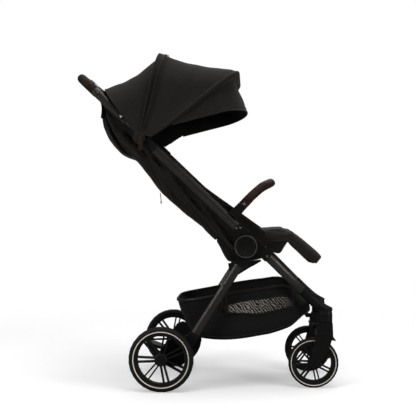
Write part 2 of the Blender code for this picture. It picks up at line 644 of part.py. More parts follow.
# Fabric
def panel(grid, thickness, inside):
    """A closed sheet whose outer face passes through a grid of points. `inside` lies on its inner side."""
    rows, columns = len(grid), len(grid[0])
    mesh = bmesh.new()
    outer = [[mesh.verts.new(p) for p in row] for row in grid]
    inner = []
    for i in range(rows):
        row = []
        for j in range(columns):
            down = grid[min(i + 1, rows - 1)][j] - grid[max(i - 1, 0)][j]
            across = grid[i][min(j + 1, columns - 1)] - grid[i][max(j - 1, 0)]
            normal = across.cross(down).normalized()
            if normal.dot(inside - grid[i][j]) < 0:
                normal = -normal
            row.append(mesh.verts.new(grid[i][j] + normal * thickness))
        inner.append(row)
    for i in range(rows - 1):
        for j in range(columns - 1):
            mesh.faces.new((outer[i][j], outer[i][j + 1], outer[i + 1][j + 1], outer[i + 1][j]))
            mesh.faces.new((inner[i][j], inner[i + 1][j], inner[i + 1][j + 1], inner[i][j + 1]))
    edge = [(0, j) for j in range(columns)] + [(i, columns - 1) for i in range(1, rows)]
    edge += [(rows - 1, j) for j in range(columns - 2, -1, -1)] + [(i, 0) for i in range(rows - 2, 0, -1)]
    for k in range(len(edge)):
        (a, b), (c, d) = edge[k], edge[(k + 1) % len(edge)]
        mesh.faces.new((outer[a][b], inner[a][b], inner[c][d], outer[c][d]))
    bmesh.ops.recalc_face_normals(mesh, faces=mesh.faces)
    return mesh


def inset(outline, distance):
    """A side-view outline with each corner moved inward by this distance."""
    middle = sum(outline, Vector((0, 0, 0))) / len(outline)
    moved = []
    for k, point in enumerate(outline):
        before = (point - outline[k - 1]).normalized()
        after = (outline[(k + 1) % len(outline)] - point).normalized()
        inward = (before + after).normalized().cross(AXIS_Y)
        if inward.dot(middle - point) < 0:
            inward = -inward
        moved.append(point + inward * distance)
    return moved


def cushion(outline, half_width, rounding):
    """A pad with a side-view outline and soft edges at both sides."""
    rings = []
    for share, deep in ((1.0, 1.0), (0.93, 0.55), (0.75, 0.2), (0.0, 0.0)):
        y = half_width - rounding * (1 - share)
        rings.append([p + AXIS_Y * y for p in inset(outline, rounding * 0.55 * deep)])
    rings += [[Vector((p.x, -p.y, p.z)) for p in ring] for ring in reversed(rings)]
    return skin(rings)


# Canopy. Each rib has an angle in degrees and a height above its centre. The rear ribs fan out from the pivot,
# the front ones from a centre that moves forward of it, and the visor's from its own lower corner.
REAR_PANEL = (
    (126.0, 0.2076), (117.0, 0.2035), (108.0, 0.2025), (99.0, 0.2115), (91.3, 0.2253), (85.0, 0.2475), (78.5, 0.2750),
    (75.0, 0.2880),
)
FRONT_PANEL = (
    (75.5, 0.2930), (69.0, 0.2918), (62.0, 0.2925), (56.0, 0.3030), (50.1, 0.3169), (44.5, 0.3420), (41.0, 0.3600),
    (38.5, 0.3660),
)
VISOR = ((37.6, 0.2740), (36.0, 0.2550), (25.5, 0.2557), (14.2, 0.2562))


def canopy_rib(centre, angle, radius, side, start):
    """One arch of the canopy, from its left end over the top to its right end."""
    out, corner = heading(math.radians(angle)), CANOPY_CORNER
    half = [(start, side), (radius - corner, side)]
    for k in range(1, 6):
        turn = math.pi / 2 * k / 5
        half.append((radius - corner + corner * math.sin(turn), side - corner + corner * math.cos(turn)))
    whole = half + [(radius, 0.0)] + [(a, -b) for a, b in reversed(half)]
    return [centre + out * a + AXIS_Y * b for a, b in whole]


def front_ribs(side):
    """The arches of the front panel up to its bow, then those of the visor."""
    pivot, bow_angle = at(*CANOPY_PIVOT), FRONT_PANEL[-1][0]
    fan = FRONT_PANEL[0][0] - bow_angle
    ribs = []
    for angle, radius in FRONT_PANEL:
        centre = pivot + BOW_CENTRE * ((FRONT_PANEL[0][0] - angle) / fan)
        ribs.append(canopy_rib(centre, angle, radius, side, RIB_START))
    corner = pivot + BOW_CENTRE + VISOR_CORNER
    return ribs + [canopy_rib(corner, angle, radius, side, 0.006) for angle, radius in VISOR]


def make_canopy():
    """The fixed rear panel with its drop flap, and the front panel that turns on the mounts."""
    pivot = at(*CANOPY_PIVOT)
    inside = pivot + heading(math.radians(75)) * 0.06
    rear_side, front_side = CANOPY_SIDE_Y + CANOPY_THICK, CANOPY_SIDE_Y + 2 * CANOPY_THICK + 0.0005
    rear_ribs = [canopy_rib(pivot, angle, radius, rear_side, RIB_START) for angle, radius in REAR_PANEL]
    for name, ribs, side in (
        ("canopy_rear", rear_ribs, rear_side),
        ("canopy_front", front_ribs(front_side), front_side),
    ):
        low = side - CANOPY_THICK
        discs = [drum(pivot, 0.0205, low, side, 20), drum(pivot, 0.0205, -side, -low, 20)]
        holes = [drum(pivot, 0.0043, low - 0.01, side + 0.01, 10), drum(pivot, 0.0043, -side - 0.01, -low + 0.01, 10)]
        add(name, worked(panel(ribs, CANOPY_THICK, inside), joined=discs, cut=holes), "fabric", pivot)
    flap = [at(-0.1930, 0.9760), at(-0.1965, 0.9450), at(-0.2005, 0.8930), at(-0.2035, 0.8930), at(-0.1998, 0.9450),
            at(-0.1962, 0.9760)]
    add("canopy_flap", plate(flap, -0.1720, 0.1720), "fabric")
    tab = [at(-0.0730, 0.8260), at(-0.0730, 0.7850), at(-0.0700, 0.7780), at(-0.0630, 0.7780), at(-0.0600, 0.7850),
           at(-0.0600, 0.8260)]
    add("zip_pull", plate(tab, -0.2525, -0.2495), "leather")


# Seat
BACK_LINE = ((0.1760, 0.4860), (0.1280, 0.5350), (0.0740, 0.5770), (0.0070, 0.6370), (-0.0560, 0.7120),
             (-0.0920, 0.7570), (-0.1430, 0.7850), (-0.1800, 0.8270), (-0.1970, 0.8880))
BACK_SIDES = (0.030, 0.046, 0.058, 0.064, 0.064, 0.060, 0.056, 0.054, 0.050)
BACK_THICK = 0.024


def back_frames():
    """Each station up the backrest, with the direction from its back to its front."""
    points = [at(*p) for p in BACK_LINE]
    placed = []
    for k, point in enumerate(points):
        along = (points[min(k + 1, len(points) - 1)] - points[max(k - 1, 0)]).normalized()
        placed.append((point, AXIS_Y.cross(along)))
    return placed


def make_backrest():
    """The backrest, a padded trough that hangs between the push tubes, and its shoulder straps."""
    rings = []
    placed = back_frames()
    for k, (point, front) in enumerate(placed):
        half, tall, deep = 0.186 - 0.004 * (k == 0), BACK_SIDES[k], BACK_THICK
        outer = [(half, tall), (half, 0.026), (half - 0.008, 0.010), (half - 0.026, 0.0), (half * 0.4, -0.004)]
        inner = [(half - 0.010, tall), (half - 0.018, deep + 0.008), (half - 0.034, deep + 0.002), (half * 0.4, deep)]
        section = outer + [(-a, b) for a, b in reversed(outer)]
        section += [(-a, b) for a, b in inner] + inner[::-1]
        rings.append([point + front * b + AXIS_Y * a for a, b in section])
    add("backrest", skin(rings), "fabric", at(*BACK_HINGE))
    lift = BACK_THICK + 0.0030
    path = [point + front * lift + AXIS_Y * 0.062 for point, front in placed[2:8]]
    add_pair("shoulder_strap", rod(path, oval(0.0190, 0.0011, 8, 4.0)), "fabric", at(*BACK_HINGE))


def make_seat():
    """The seat's frame and pad, the calf rest and the buckle of the harness."""
    start = on_front_line(0.0920, FRAME_Y - TUBE_THICK / 2 - GAP)
    side = 0.1735
    half = [start, Vector((start.x, side + 0.012, start.z)), Vector((start.x - 0.010, side, start.z + 0.006))]
    half += [at(0.3350, 0.4660, side), at(0.3000, 0.4720, side), at(0.2450, 0.4720, side - 0.004)]
    half += [at(0.2260, 0.4720, side - 0.022)]
    path = half + [Vector((p.x, -p.y, p.z)) for p in reversed(half)]
    add("seat_frame", rod(path, oval(0.0070, 0.0070, 12), Vector((0, 0, 1))), "frame")
    pad = [at(0.2170, 0.4830), at(0.2140, 0.5000), at(0.2170, 0.5150), at(0.2600, 0.5120), at(0.3370, 0.5170)]
    pad += [at(0.3950, 0.5210), at(0.4180, 0.5170), at(0.4300, 0.5050), at(0.4120, 0.4840), at(0.3000, 0.4800)]
    add("seat_pad", cushion(pad, SEAT_HALF_WIDTH, 0.012), "fabric")
    calf = [at(0.4330, 0.4980), at(0.4480, 0.4960), at(0.4700, 0.4780), at(0.5180, 0.4360), at(0.5215, 0.4260)]
    calf += [at(0.5120, 0.4140), at(0.4990, 0.4090), at(0.4900, 0.4120), at(0.4500, 0.4510), at(0.4230, 0.4750)]
    calf += [at(0.4215, 0.4845)]
    add("calf_rest", cushion(calf, SEAT_HALF_WIDTH - 0.004, 0.010), "fabric", at(*CALF_HINGE))
    strap = [at(0.2380, 0.5152), at(0.2380, 0.5320), at(0.2400, 0.5320), at(0.2400, 0.5152)]
    shell = [at(0.2310, 0.5280), at(0.2310, 0.5660), at(0.2350, 0.5700), at(0.2430, 0.5700), at(0.2480, 0.5650),
             at(0.2480, 0.5280)]
    slot = [at(0.2377, 0.5180), at(0.2377, 0.5323), at(0.2403, 0.5323), at(0.2403, 0.5180)]
    add("crotch_strap", plate(strap, -0.0170, 0.0170), "fabric")
    place = at(0.2500, 0.5490)
    socket_hole = drum_forward(place, 0.0075, -0.0070, 0.0100)
    add("harness_buckle", worked(plate(shell, -0.0230, 0.0230), cut=[plate(slot, -0.0175, 0.0175), socket_hole]),
        "plastic")
    add("buckle_button", drum_forward(place, 0.0070, -0.0040, -0.0005), "plastic", place)


def drum_forward(centre, radius, low, high):
    """A short cylinder along X, between two distances from its centre."""
    mesh = turned([(0, low), (radius, low), (radius, high), (0, high)], 20)
    bmesh.ops.rotate(mesh, verts=mesh.verts, cent=(0, 0, 0), matrix=Matrix.Rotation(-math.pi / 2, 3, "Z"))
    bmesh.ops.translate(mesh, verts=mesh.verts, vec=centre)
    return mesh


# Basket
BASKET_RIM = ((0.040, 0.284), (0.128, 0.296), (0.219, 0.314), (0.332, 0.330), (0.404, 0.336), (0.470, 0.300))
BASKET_FLOOR = ((0.060, 0.190), (0.108, 0.166), (0.221, 0.160), (0.354, 0.180), (0.420, 0.200), (0.470, 0.232))
BASKET_HALF = ((0.040, 0.180), (0.300, 0.184), (0.404, 0.176), (0.440, 0.160), (0.490, 0.120))


def along(table, forward):
    """The value of a table at a distance forward, straight between its rows."""
    for (a, low), (b, high) in zip(table, table[1:]):
        if forward <= b:
            return low + (high - low) * max(forward - a, 0) / (b - a)
    return table[-1][1]


def basket_loop(start, end, share, level, thin):
    """A loop round the basket in plan. `level` runs from 0 at its floor to 1 at its rim."""
    points = []
    for a, b in oval(1.0, 1.0, 28, 4.5):
        forward = (start + end) / 2 + a * ((end - start) / 2 - thin)
        width = along(BASKET_HALF, forward) * share - thin
        low, high = along(BASKET_FLOOR, forward), along(BASKET_RIM, forward)
        height = low + (high - low) * level + (thin if level == 0 else 0)
        points.append(at(forward, height, b * max(width, 0.004)))
    return points


def make_basket():
    """The storage basket, an open tray of cloth between the legs."""
    levels = ((0.120, 0.446, 0.30, 0.0), (0.088, 0.466, 0.80, 0.0), (0.070, 0.474, 0.90, 0.18), (0.050, 0.470, 0.95, 0.6),
              (0.040, 0.458, 0.975, 1.0))
    outside = [basket_loop(*level, 0.0) for level in levels]
    inside = [basket_loop(*level, 0.0030) for level in levels]
    add("basket", skin(outside + inside[::-1], strips=True), "fabric")


def main():
    """Clear the scene and build the stroller."""
    for thing in list(bpy.data.objects):
        bpy.data.objects.remove(thing)
    make_hubs()
    make_front_legs()
    make_rear_legs()
    make_brake()
    make_wheels()
    make_casters()
    make_push_frame()
    make_handle()
    make_guard()
    make_canopy()
    make_backrest()
    make_seat()
    make_basket()


main()
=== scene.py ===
"""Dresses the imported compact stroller: cloth, leather, moulded plastic, tubes, wheels, studio and camera."""

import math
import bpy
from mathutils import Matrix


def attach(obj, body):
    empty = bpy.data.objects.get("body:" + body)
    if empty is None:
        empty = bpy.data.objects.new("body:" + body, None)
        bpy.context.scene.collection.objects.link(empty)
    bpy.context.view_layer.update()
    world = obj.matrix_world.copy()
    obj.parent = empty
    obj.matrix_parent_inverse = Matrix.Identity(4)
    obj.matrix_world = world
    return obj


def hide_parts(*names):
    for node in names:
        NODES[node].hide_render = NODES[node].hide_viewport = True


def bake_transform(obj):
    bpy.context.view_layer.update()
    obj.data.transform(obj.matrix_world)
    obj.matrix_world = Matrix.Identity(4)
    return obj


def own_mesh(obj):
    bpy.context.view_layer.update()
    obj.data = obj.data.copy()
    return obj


bl_info = {
    "name": "Compact Stroller",
    "version": (1, 0, 0),
    "blender": (4, 5, 0),
    "location": "3D View > Sidebar > Stroller",
    "description": "Cloth, trim and finishes of a compact folding stroller",
    "category": "Object",
}

import bmesh
import bpy
import numpy as np
from mathutils import Vector, noise

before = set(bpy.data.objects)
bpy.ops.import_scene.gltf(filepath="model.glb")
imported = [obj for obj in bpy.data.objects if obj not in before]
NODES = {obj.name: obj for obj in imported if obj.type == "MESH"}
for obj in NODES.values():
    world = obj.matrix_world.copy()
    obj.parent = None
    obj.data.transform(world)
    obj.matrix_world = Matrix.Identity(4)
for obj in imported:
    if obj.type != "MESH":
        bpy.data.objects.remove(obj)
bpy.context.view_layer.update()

REAR_AXLE_TO_CENTRE = 0.1472
AXIS_X = Vector((1, 0, 0))
AXIS_Y = Vector((0, 1, 0))
AXIS_Z = Vector((0, 0, 1))
SIDES = (("left", 1), ("right", -1))


def at(forward, height, y=0.0):
    """A point by its distance forward of the rear axle, its height and its Y."""
    return Vector((forward - REAR_AXLE_TO_CENTRE, y, height))


def heading(degrees):
    """The unit vector at this angle above +X in a side view."""
    turn = math.radians(degrees)
    return Vector((math.cos(turn), 0, math.sin(turn)))


HUB = at(0.274, 0.470)
FRAME_Y = 0.2215
PUSH_DIR = heading(136.3)
FRONT_SIDE = heading(46.3)
PUSH_FOOT = HUB + FRONT_SIDE * 0.025
CANOPY_PIVOT = at(-0.072, 0.822)


def on_push_line(distance, y=0.0, out=0.0):
    """A point up the push line from its foot at the hub."""
    return PUSH_FOOT + PUSH_DIR * distance + FRONT_SIDE * out + AXIS_Y * y


# What a user may change
class StrollerSizes(bpy.types.PropertyGroup):
    """Sizes of the cloth and trim."""

    weave: bpy.props.FloatProperty(
        name="Weave", description="Distance between threads of the canvas", default=0.0016, unit="LENGTH"
    )
    piping: bpy.props.FloatProperty(
        name="Piping", description="Radius of the piping along seams", default=0.0021, unit="LENGTH"
    )
    wrinkle: bpy.props.FloatProperty(
        name="Wrinkle", description="Depth of the folds in the cloth", default=0.0022, unit="LENGTH"
    )
    canvas_thickness: bpy.props.FloatProperty(
        name="Canvas", description="Thickness of the canopy's canvas", default=0.0020, unit="LENGTH"
    )
    stitch: bpy.props.FloatProperty(
        name="Stitch", description="Length of one stitch", default=0.0035, unit="LENGTH"
    )


class StrollerColours(bpy.types.PropertyGroup):
    """Colours of the cloth, leather, tubes and tyres."""

    canvas: bpy.props.FloatVectorProperty(
        name="Canvas", description="Main cloth", subtype="COLOR", size=3, default=(0.0100, 0.0083, 0.0070)
    )
    leather: bpy.props.FloatVectorProperty(
        name="Leather", description="Grips, guard bar and pull", subtype="COLOR", size=3,
        default=(0.0175, 0.0080, 0.0042),
    )
    tube: bpy.props.FloatVectorProperty(
        name="Tube", description="Lacquered frame tubes", subtype="COLOR", size=3,
        default=(0.0300, 0.0270, 0.0245),
    )
    plastic: bpy.props.FloatVectorProperty(
        name="Plastic", description="Moulded parts", subtype="COLOR", size=3, default=(0.0050, 0.0046, 0.0043)
    )
    ring: bpy.props.FloatVectorProperty(
        name="Reflective ring", description="Line on the tyres", subtype="COLOR", size=3,
        default=(0.78, 0.73, 0.64),
    )


def sizes():
    """The sizes that the operators read."""
    return bpy.context.scene.stroller_sizes


def colours():
    """The colours that the operators read."""
    return bpy.context.scene.stroller_colours


# Node materials
class Shades:
    """Builds one node material from left to right."""

    def __init__(self, name):
        self.material = bpy.data.materials.new(name)
        self.material.use_nodes = True
        self.tree = self.material.node_tree
        self.shader = self.tree.nodes["Principled BSDF"]
        self.place = self.node("ShaderNodeTexCoord").outputs["Object"]

    def node(self, kind, **values):
        """A node with named inputs or attributes set."""
        made = self.tree.nodes.new(kind)
        for key, value in values.items():
            if key in made.inputs:
                if isinstance(value, bpy.types.NodeSocket):
                    self.tree.links.new(value, made.inputs[key])
                else:
                    made.inputs[key].default_value = value
            else:
                setattr(made, key, value)
        return made

    def link(self, output, target):
        """Join two sockets."""
        self.tree.links.new(output, target)

    def noise(self, scale, detail=3.0, rough=0.55):
        """A noise value, about 0.5 on average."""
        made = self.node("ShaderNodeTexNoise", Vector=self.place, Scale=scale, Detail=detail, Roughness=rough)
        return made.outputs["Fac"]

    def wave(self, axis, period, distort=0.0):
        """Bands across one axis with this period in metres."""
        made = self.node("ShaderNodeTexWave", Vector=self.place, Scale=1 / period * 0.314, Distortion=distort)
        made.bands_direction = axis
        return made.outputs["Fac"]

    def cells(self, scale):
        """Distances to scattered points."""
        return self.node("ShaderNodeTexVoronoi", Vector=self.place, Scale=scale).outputs["Distance"]

    def maths(self, operation, a, b=0.5):
        """Two values through one operation."""
        made = self.node("ShaderNodeMath")
        made.operation = operation
        for socket, value in zip(made.inputs, (a, b)):
            if isinstance(value, bpy.types.NodeSocket):
                self.link(value, socket)
            else:
                socket.default_value = value
        return made.outputs[0]

    def ramp(self, value, stops):
        """Colours or greys by value."""
        made = self.node("ShaderNodeValToRGB", Fac=value)
        table = made.color_ramp
        while len(table.elements) < len(stops):
            table.elements.new(0.5)
        for element, (place, colour) in zip(table.elements, stops):
            element.position = place
            element.color = (*colour, 1) if hasattr(colour, "__len__") else (colour, colour, colour, 1)
        return made.outputs["Color"]

    def bump(self, height, strength, distance, under=None):
        """A bump from a height, over another bump where given."""
        made = self.node("ShaderNodeBump", Height=height, Strength=strength, Distance=distance)
        if under is not None:
            self.link(under, made.inputs["Normal"])
        return made.outputs["Normal"]

    def finish(self, colour, roughness, normal=None, metallic=0.0, **plain):
        """Feed the shader and return the material."""
        inputs = self.shader.inputs
        for key, value in (("Base Color", colour), ("Roughness", roughness), ("Normal", normal)):
            if isinstance(value, bpy.types.NodeSocket):
                self.link(value, inputs[key])
            elif value is not None:
                inputs[key].default_value = (*value, 1) if hasattr(value, "__len__") else value
        inputs["Metallic"].default_value = metallic
        for key, value in plain.items():
            inputs[key.replace("_", " ")].default_value = value
        return self.material


def tint(colour, gain):
    """The same hue at another lightness."""
    return tuple(min(c * gain, 1.0) for c in colour)


def canvas_finish(name, colour, period, heather=1.5, sheen=0.08):
    """Woven cloth: crossed threads, flecks of lighter yarn and a little sheen."""
    s = Shades(name)
    flecks = s.noise(1 / period * 0.55, 2.0)
    broad = s.noise(9.0, 3.0)
    weft = s.maths("MULTIPLY", s.wave("X", period, 0.6), s.wave("Y", period, 0.6))
    weave = s.maths("MAXIMUM", weft, s.wave("Z", period, 0.6))
    mixed = s.maths("ADD", s.maths("MULTIPLY", flecks, 0.7), s.maths("MULTIPLY", broad, 0.3))
    shade = s.ramp(mixed, ((0.36, tint(colour, 0.72)), (0.52, colour), (0.68, tint(colour, heather))))
    rough = s.ramp(broad, ((0.3, 0.78), (0.7, 0.92)))
    folds = s.bump(s.noise(26.0, 4.0, 0.6), 0.22, 0.004)
    normal = s.bump(weave, 0.35, period * 0.35, folds)
    return s.finish(shade, rough, normal, Sheen_Weight=sheen, Sheen_Roughness=0.4, Specular_IOR_Level=0.22)


def leather_finish(name, colour):
    """Stitched leather with fine grain and creases, darker in some patches and worn lighter in others."""
    s = Shades(name)
    grain = s.cells(900.0)
    wear = s.noise(24.0, 5.0, 0.62)
    shade = s.ramp(wear, ((0.30, tint(colour, 0.55)), (0.50, colour), (0.74, tint(colour, 1.7))))
    rough = s.ramp(wear, ((0.3, 0.62), (0.7, 0.46)))
    rounded = s.node("ShaderNodeBevel", Radius=0.004, samples=8).outputs["Normal"]
    creases = s.bump(s.noise(150.0, 5.0, 0.7), 0.35, 0.0010, rounded)
    return s.finish(shade, rough, s.bump(grain, 0.5, 0.0006, creases), Specular_IOR_Level=0.12)


def moulded_finish(
    name, colour, rough=(0.40, 0.56), grain=2200.0, metallic=0.0, coat=0.0, edge=0.0016, grit=0.10
):
    """Moulded plastic or lacquered metal: fine orange-peel bump, uneven gloss and softened edges."""
    s = Shades(name)
    broad = s.noise(14.0, 4.0, 0.6)
    fine = s.noise(grain, 2.0)
    shade = s.ramp(broad, ((0.3, tint(colour, 0.85)), (0.7, tint(colour, 1.22))))
    gloss = s.ramp(s.noise(60.0, 5.0, 0.65), ((0.3, rough[0]), (0.7, rough[1])))
    rounded = s.node("ShaderNodeBevel", Radius=edge, samples=12).outputs["Normal"]
    normal = s.bump(fine, grit, 0.0004, rounded)
    return s.finish(
        shade, gloss, normal, metallic, Coat_Weight=coat, Coat_Roughness=0.25, Specular_IOR_Level=0.15
    )


def mesh_finish(name, colour):
    """Two layers of netting: dark wavering threads over a paler ground, which is painted light coming through
    the holes and fades towards the front.
    """
    s = Shades(name)
    waver = s.node("ShaderNodeVectorMath", operation="MULTIPLY_ADD")
    soft = s.node("ShaderNodeTexNoise", Vector=s.place, Scale=55.0, Detail=2.0)
    s.link(soft.outputs["Color"], waver.inputs[0])
    waver.inputs[1].default_value = (0.016, 0.016, 0.016)
    s.link(s.place, waver.inputs[2])
    threads = s.node("ShaderNodeTexWave", Vector=waver.outputs[0], Scale=54.0, Distortion=1.5)
    threads.bands_direction = "DIAGONAL"
    cross = s.wave("Z", 0.0052, 2.0)
    open_part = s.maths("MULTIPLY", threads.outputs["Fac"], s.maths("ADD", cross, 0.45))
    # Painted light: the open parts are painted pale for light seen through the netting, fading to about a
    # third towards the front.
    ahead = s.node("ShaderNodeSeparateXYZ", Vector=s.place).outputs["X"]
    painted_fade_ahead = s.node("ShaderNodeMapRange", Value=ahead)
    for key, value in (("From Min", 0.06), ("From Max", 0.30), ("To Min", 1.0), ("To Max", 0.35)):
        painted_fade_ahead.inputs[key].default_value = value
    light = s.maths("MULTIPLY", open_part, painted_fade_ahead.outputs[0])
    stops = (0.22, tint(colour, 0.6)), (0.48, (0.130, 0.121, 0.108)), (0.78, (0.34, 0.315, 0.285))
    shade = s.ramp(light, stops)
    return s.finish(shade, 0.75, s.bump(open_part, 0.4, 0.0006), Specular_IOR_Level=0.2)


def make_finishes():
    """Every material of the stroller, by its plain name."""
    c = colours()
    weave = sizes().weave
    return {
        "canvas": canvas_finish("black_canvas", c.canvas, weave),
        "webbing": canvas_finish("woven_webbing", tint(c.canvas, 1.05), weave * 1.6, 1.8, 0.2),
        "binding": canvas_finish("bound_edge", tint(c.canvas, 0.70), weave * 0.7, 1.4, 0.2),
        "netting": mesh_finish("basket_netting", tint(c.canvas, 1.1)),
        "leather": leather_finish("brown_leather", c.leather),
        "thread": canvas_finish("dark_thread", tint(c.leather, 0.40), 0.0006, 1.6, 0.0),
        "tube": moulded_finish("lacquered_tube", c.tube, (0.30, 0.38), 1200.0, 0.55, 0.4, 0.0100, 0.03),
        "inner_tube": moulded_finish(
            "satin_inner_tube", (0.075, 0.068, 0.062), (0.26, 0.38), 2400.0, 0.9, 0.0, 0.004
        ),
        "plastic": moulded_finish("moulded_plastic", tint(c.plastic, 0.7)),
        "gloss_plastic": moulded_finish("polished_plastic", c.plastic, (0.18, 0.28), 2600.0, 0.0, 0.3),
        # Pale grey plastic for the buckle button, and the painted highlight on the hubs' rim lips.
        "grey_plastic": moulded_finish("collar_plastic", (0.050, 0.047, 0.044), (0.35, 0.5)),
        "rim_plastic": moulded_finish("rim_plastic", tint(c.plastic, 1.15), (0.34, 0.48)),
        "tyre": moulded_finish("foam_tyre", (0.0085, 0.0076, 0.0069), (0.56, 0.72), 900.0, edge=0.004),
        "ring": moulded_finish("reflective_ring", c.ring, (0.32, 0.46), 1600.0),
        "steel_dark": moulded_finish("blackened_steel", (0.16, 0.155, 0.15), (0.22, 0.34), 1600.0, 0.9),
        # The basket's own greener cloth, made darker still as painted shade for the lower half under the seat.
        "basket_cloth": canvas_finish("basket_canvas_painted_shade", (0.0042, 0.0046, 0.0040), weave, 1.5, 0.03),
        "gloss_cloth": moulded_finish("taped_rim", tint(c.canvas, 0.9), (0.36, 0.5), 1400.0, 0.0, 0.1),
        "steel": moulded_finish("bright_steel", (0.55, 0.54, 0.52), (0.18, 0.3), 1600.0, 1.0),
        "white_dot": moulded_finish("button_face", (0.70, 0.69, 0.67), (0.3, 0.4)),
    }


FINISH = {}


# Mesh code
def publish(name, mesh, finish, slot=None, smooth_angle=45):
    """Turn a bmesh into a named piece with one finish."""
    bmesh.ops.recalc_face_normals(mesh, faces=mesh.faces)
    data = bpy.data.meshes.new(name)
    mesh.to_mesh(data)
    mesh.free()
    data.materials.append(FINISH[finish])
    data.shade_smooth()
    data.set_sharp_from_angle(angle=math.radians(smooth_angle))
    piece = bpy.data.objects.new(name, data)
    bpy.context.scene.collection.objects.link(piece)
    return piece


def fasten(body, name, mesh, finish, slot="black_fabric"):
    """Publish a piece and fasten it to one body."""
    piece = publish(name, mesh, finish, slot)
    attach(piece, body)
    return piece


def add_rings(mesh, rings, closed=False):
    """Add a skin over rings of equally many points, capped at its ends."""
    made = [[mesh.verts.new(p) for p in ring] for ring in rings]
    count = len(made[0])
    for k in range(len(made) if closed else len(made) - 1):
        low, high = made[k], made[(k + 1) % len(made)]
        for j in range(count):
            i = (j + 1) % count
            mesh.faces.new((low[j], low[i], high[i], high[j]))
    if not closed:
        mesh.faces.new(made[0])
        mesh.faces.new(list(reversed(made[-1])))


def add_rod(mesh, path, wide, thick=None, sides=10, first=AXIS_Y, power=2.0, closed=False, taper=0):
    """Add a rod along a path, its first half-width along `first`, narrowed over `taper` points at the ends."""
    thick = thick or wide
    outline = []
    for k in range(sides):
        turn = 2 * math.pi * (k + 0.5) / sides
        a, b = (math.copysign(abs(x) ** (2 / power), x) for x in (math.cos(turn), math.sin(turn)))
        outline.append((a * wide, b * thick))
    rings = []
    normal = first
    for k, point in enumerate(path):
        before = path[k - 1] if closed else path[max(k - 1, 0)]
        after = path[(k + 1) % len(path)] if closed else path[min(k + 1, len(path) - 1)]
        tangent = (after - before).normalized()
        normal = (normal - tangent * normal.dot(tangent)).normalized()
        side = tangent.cross(normal)
        full = min(1.0, 0.2 + min(k, len(path) - 1 - k) / taper) if taper else 1.0
        rings.append([point + normal * (a * full) + side * (b * full) for a, b in outline])
    add_rings(mesh, rings, closed)


def add_turned(mesh, profile, centre, sign, steps=32, ring=False):
    """Add a body turned about Y from (radius, distance outward) pairs. `sign` is the side that it faces."""
    wheels = []
    for radius, outward in profile:
        along = outward * sign
        if radius == 0:
            wheels.append([mesh.verts.new(centre + AXIS_Y * along)] * steps)
            continue
        turns = [2 * math.pi * k / steps for k in range(steps)]
        spots = [Vector((radius * math.cos(t), along, radius * math.sin(t))) for t in turns]
        wheels.append([mesh.verts.new(centre + spot) for spot in spots])
    for k in range(len(wheels) if ring else len(wheels) - 1):
        low, high = wheels[k], wheels[(k + 1) % len(wheels)]
        for j in range(steps):
            i = (j + 1) % steps
            corners = list(dict.fromkeys((low[j], low[i], high[i], high[j])))
            if len(corners) > 2:
                mesh.faces.new(corners)


def between(a, b, c, d, t):
    """A Catmull-Rom value between b and c."""
    return 0.5 * (2 * b + (c - a) * t + (2 * a - 5 * b + 4 * c - d) * t * t + (3 * b - a - 3 * c + d) * t**3)


def smooth(points, per_span=6):
    """A Catmull-Rom curve through these points."""
    ends = [points[0] * 2 - points[1]] + list(points) + [points[-1] * 2 - points[-2]]
    curve = []
    for k in range(len(points) - 1):
        curve += [between(*ends[k : k + 4], j / per_span) for j in range(per_span)]
    return curve + [points[-1]]


def add_cloth(mesh, surface, rows, columns, thickness):
    """Add a closed sheet whose outer face is `surface(u, v)` for u and v from 0 to 1, and return its area."""
    grid = [[surface(i / rows, j / columns) for j in range(columns + 1)] for i in range(rows + 1)]
    outer = [[mesh.verts.new(p) for p in row] for row in grid]
    inner = []
    for i in range(rows + 1):
        row = []
        for j in range(columns + 1):
            down = grid[min(i + 1, rows)][j] - grid[max(i - 1, 0)][j]
            across = grid[i][min(j + 1, columns)] - grid[i][max(j - 1, 0)]
            row.append(mesh.verts.new(grid[i][j] - down.cross(across).normalized() * thickness))
        inner.append(row)
    for i in range(rows):
        for j in range(columns):
            mesh.faces.new((outer[i][j], outer[i][j + 1], outer[i + 1][j + 1], outer[i + 1][j]))
            mesh.faces.new((inner[i][j], inner[i + 1][j], inner[i + 1][j + 1], inner[i][j + 1]))
    edge = [(0, j) for j in range(columns + 1)] + [(i, columns) for i in range(1, rows + 1)]
    edge += [(rows, j) for j in range(columns - 1, -1, -1)] + [(i, 0) for i in range(rows - 1, 0, -1)]
    for k, (a, b) in enumerate(edge):
        c, d = edge[(k + 1) % len(edge)]
        mesh.faces.new((outer[a][b], inner[a][b], inner[c][d], outer[c][d]))
    area = 0.0
    for i in range(rows):
        for j in range(columns):
            first = (grid[i + 1][j + 1] - grid[i][j]).cross(grid[i + 1][j] - grid[i][j + 1])
            area += first.length / 2
    return area


def add_stitches(mesh, path, out, length, radius=0.0005):
    """Add a row of short raised stitches along a path, each set along `out`."""
    total, spots = 0.0, []
    for a, b in zip(path, path[1:]):
        step = (b - a).length
        while total < step:
            spots.append((a.lerp(b, total / step), (b - a).normalized()))
            total += length * 1.45
        total -= step
    for spot, along in spots:
        lift = out(spot) if callable(out) else out
        ends = [spot - along * length * 0.5, spot + lift * radius * 0.6, spot + along * length * 0.5]
        add_rod(mesh, ends, radius, sides=5, first=lift)


def table_value(table, key):
    """A value smoothly interpolated between a table's rows, whose keys run either way."""
    keys = [row[0] for row in table]
    values = [row[1] for row in table]
    if keys[0] > keys[-1]:
        keys, values = keys[::-1], values[::-1]
    key = min(max(key, keys[0]), keys[-1])
    for k in range(len(keys) - 1):
        if key <= keys[k + 1]:
            t = (key - keys[k]) / (keys[k + 1] - keys[k])
            before, after = values[max(k - 1, 0)], values[min(k + 2, len(keys) - 1)]
            return between(before, values[k], values[k + 1], after, t)
    return values[-1]


CUSHION_SHRINK = 0.001
CUSHION_PRESSURE = 4.0
CUSHION_FRAMES = 20


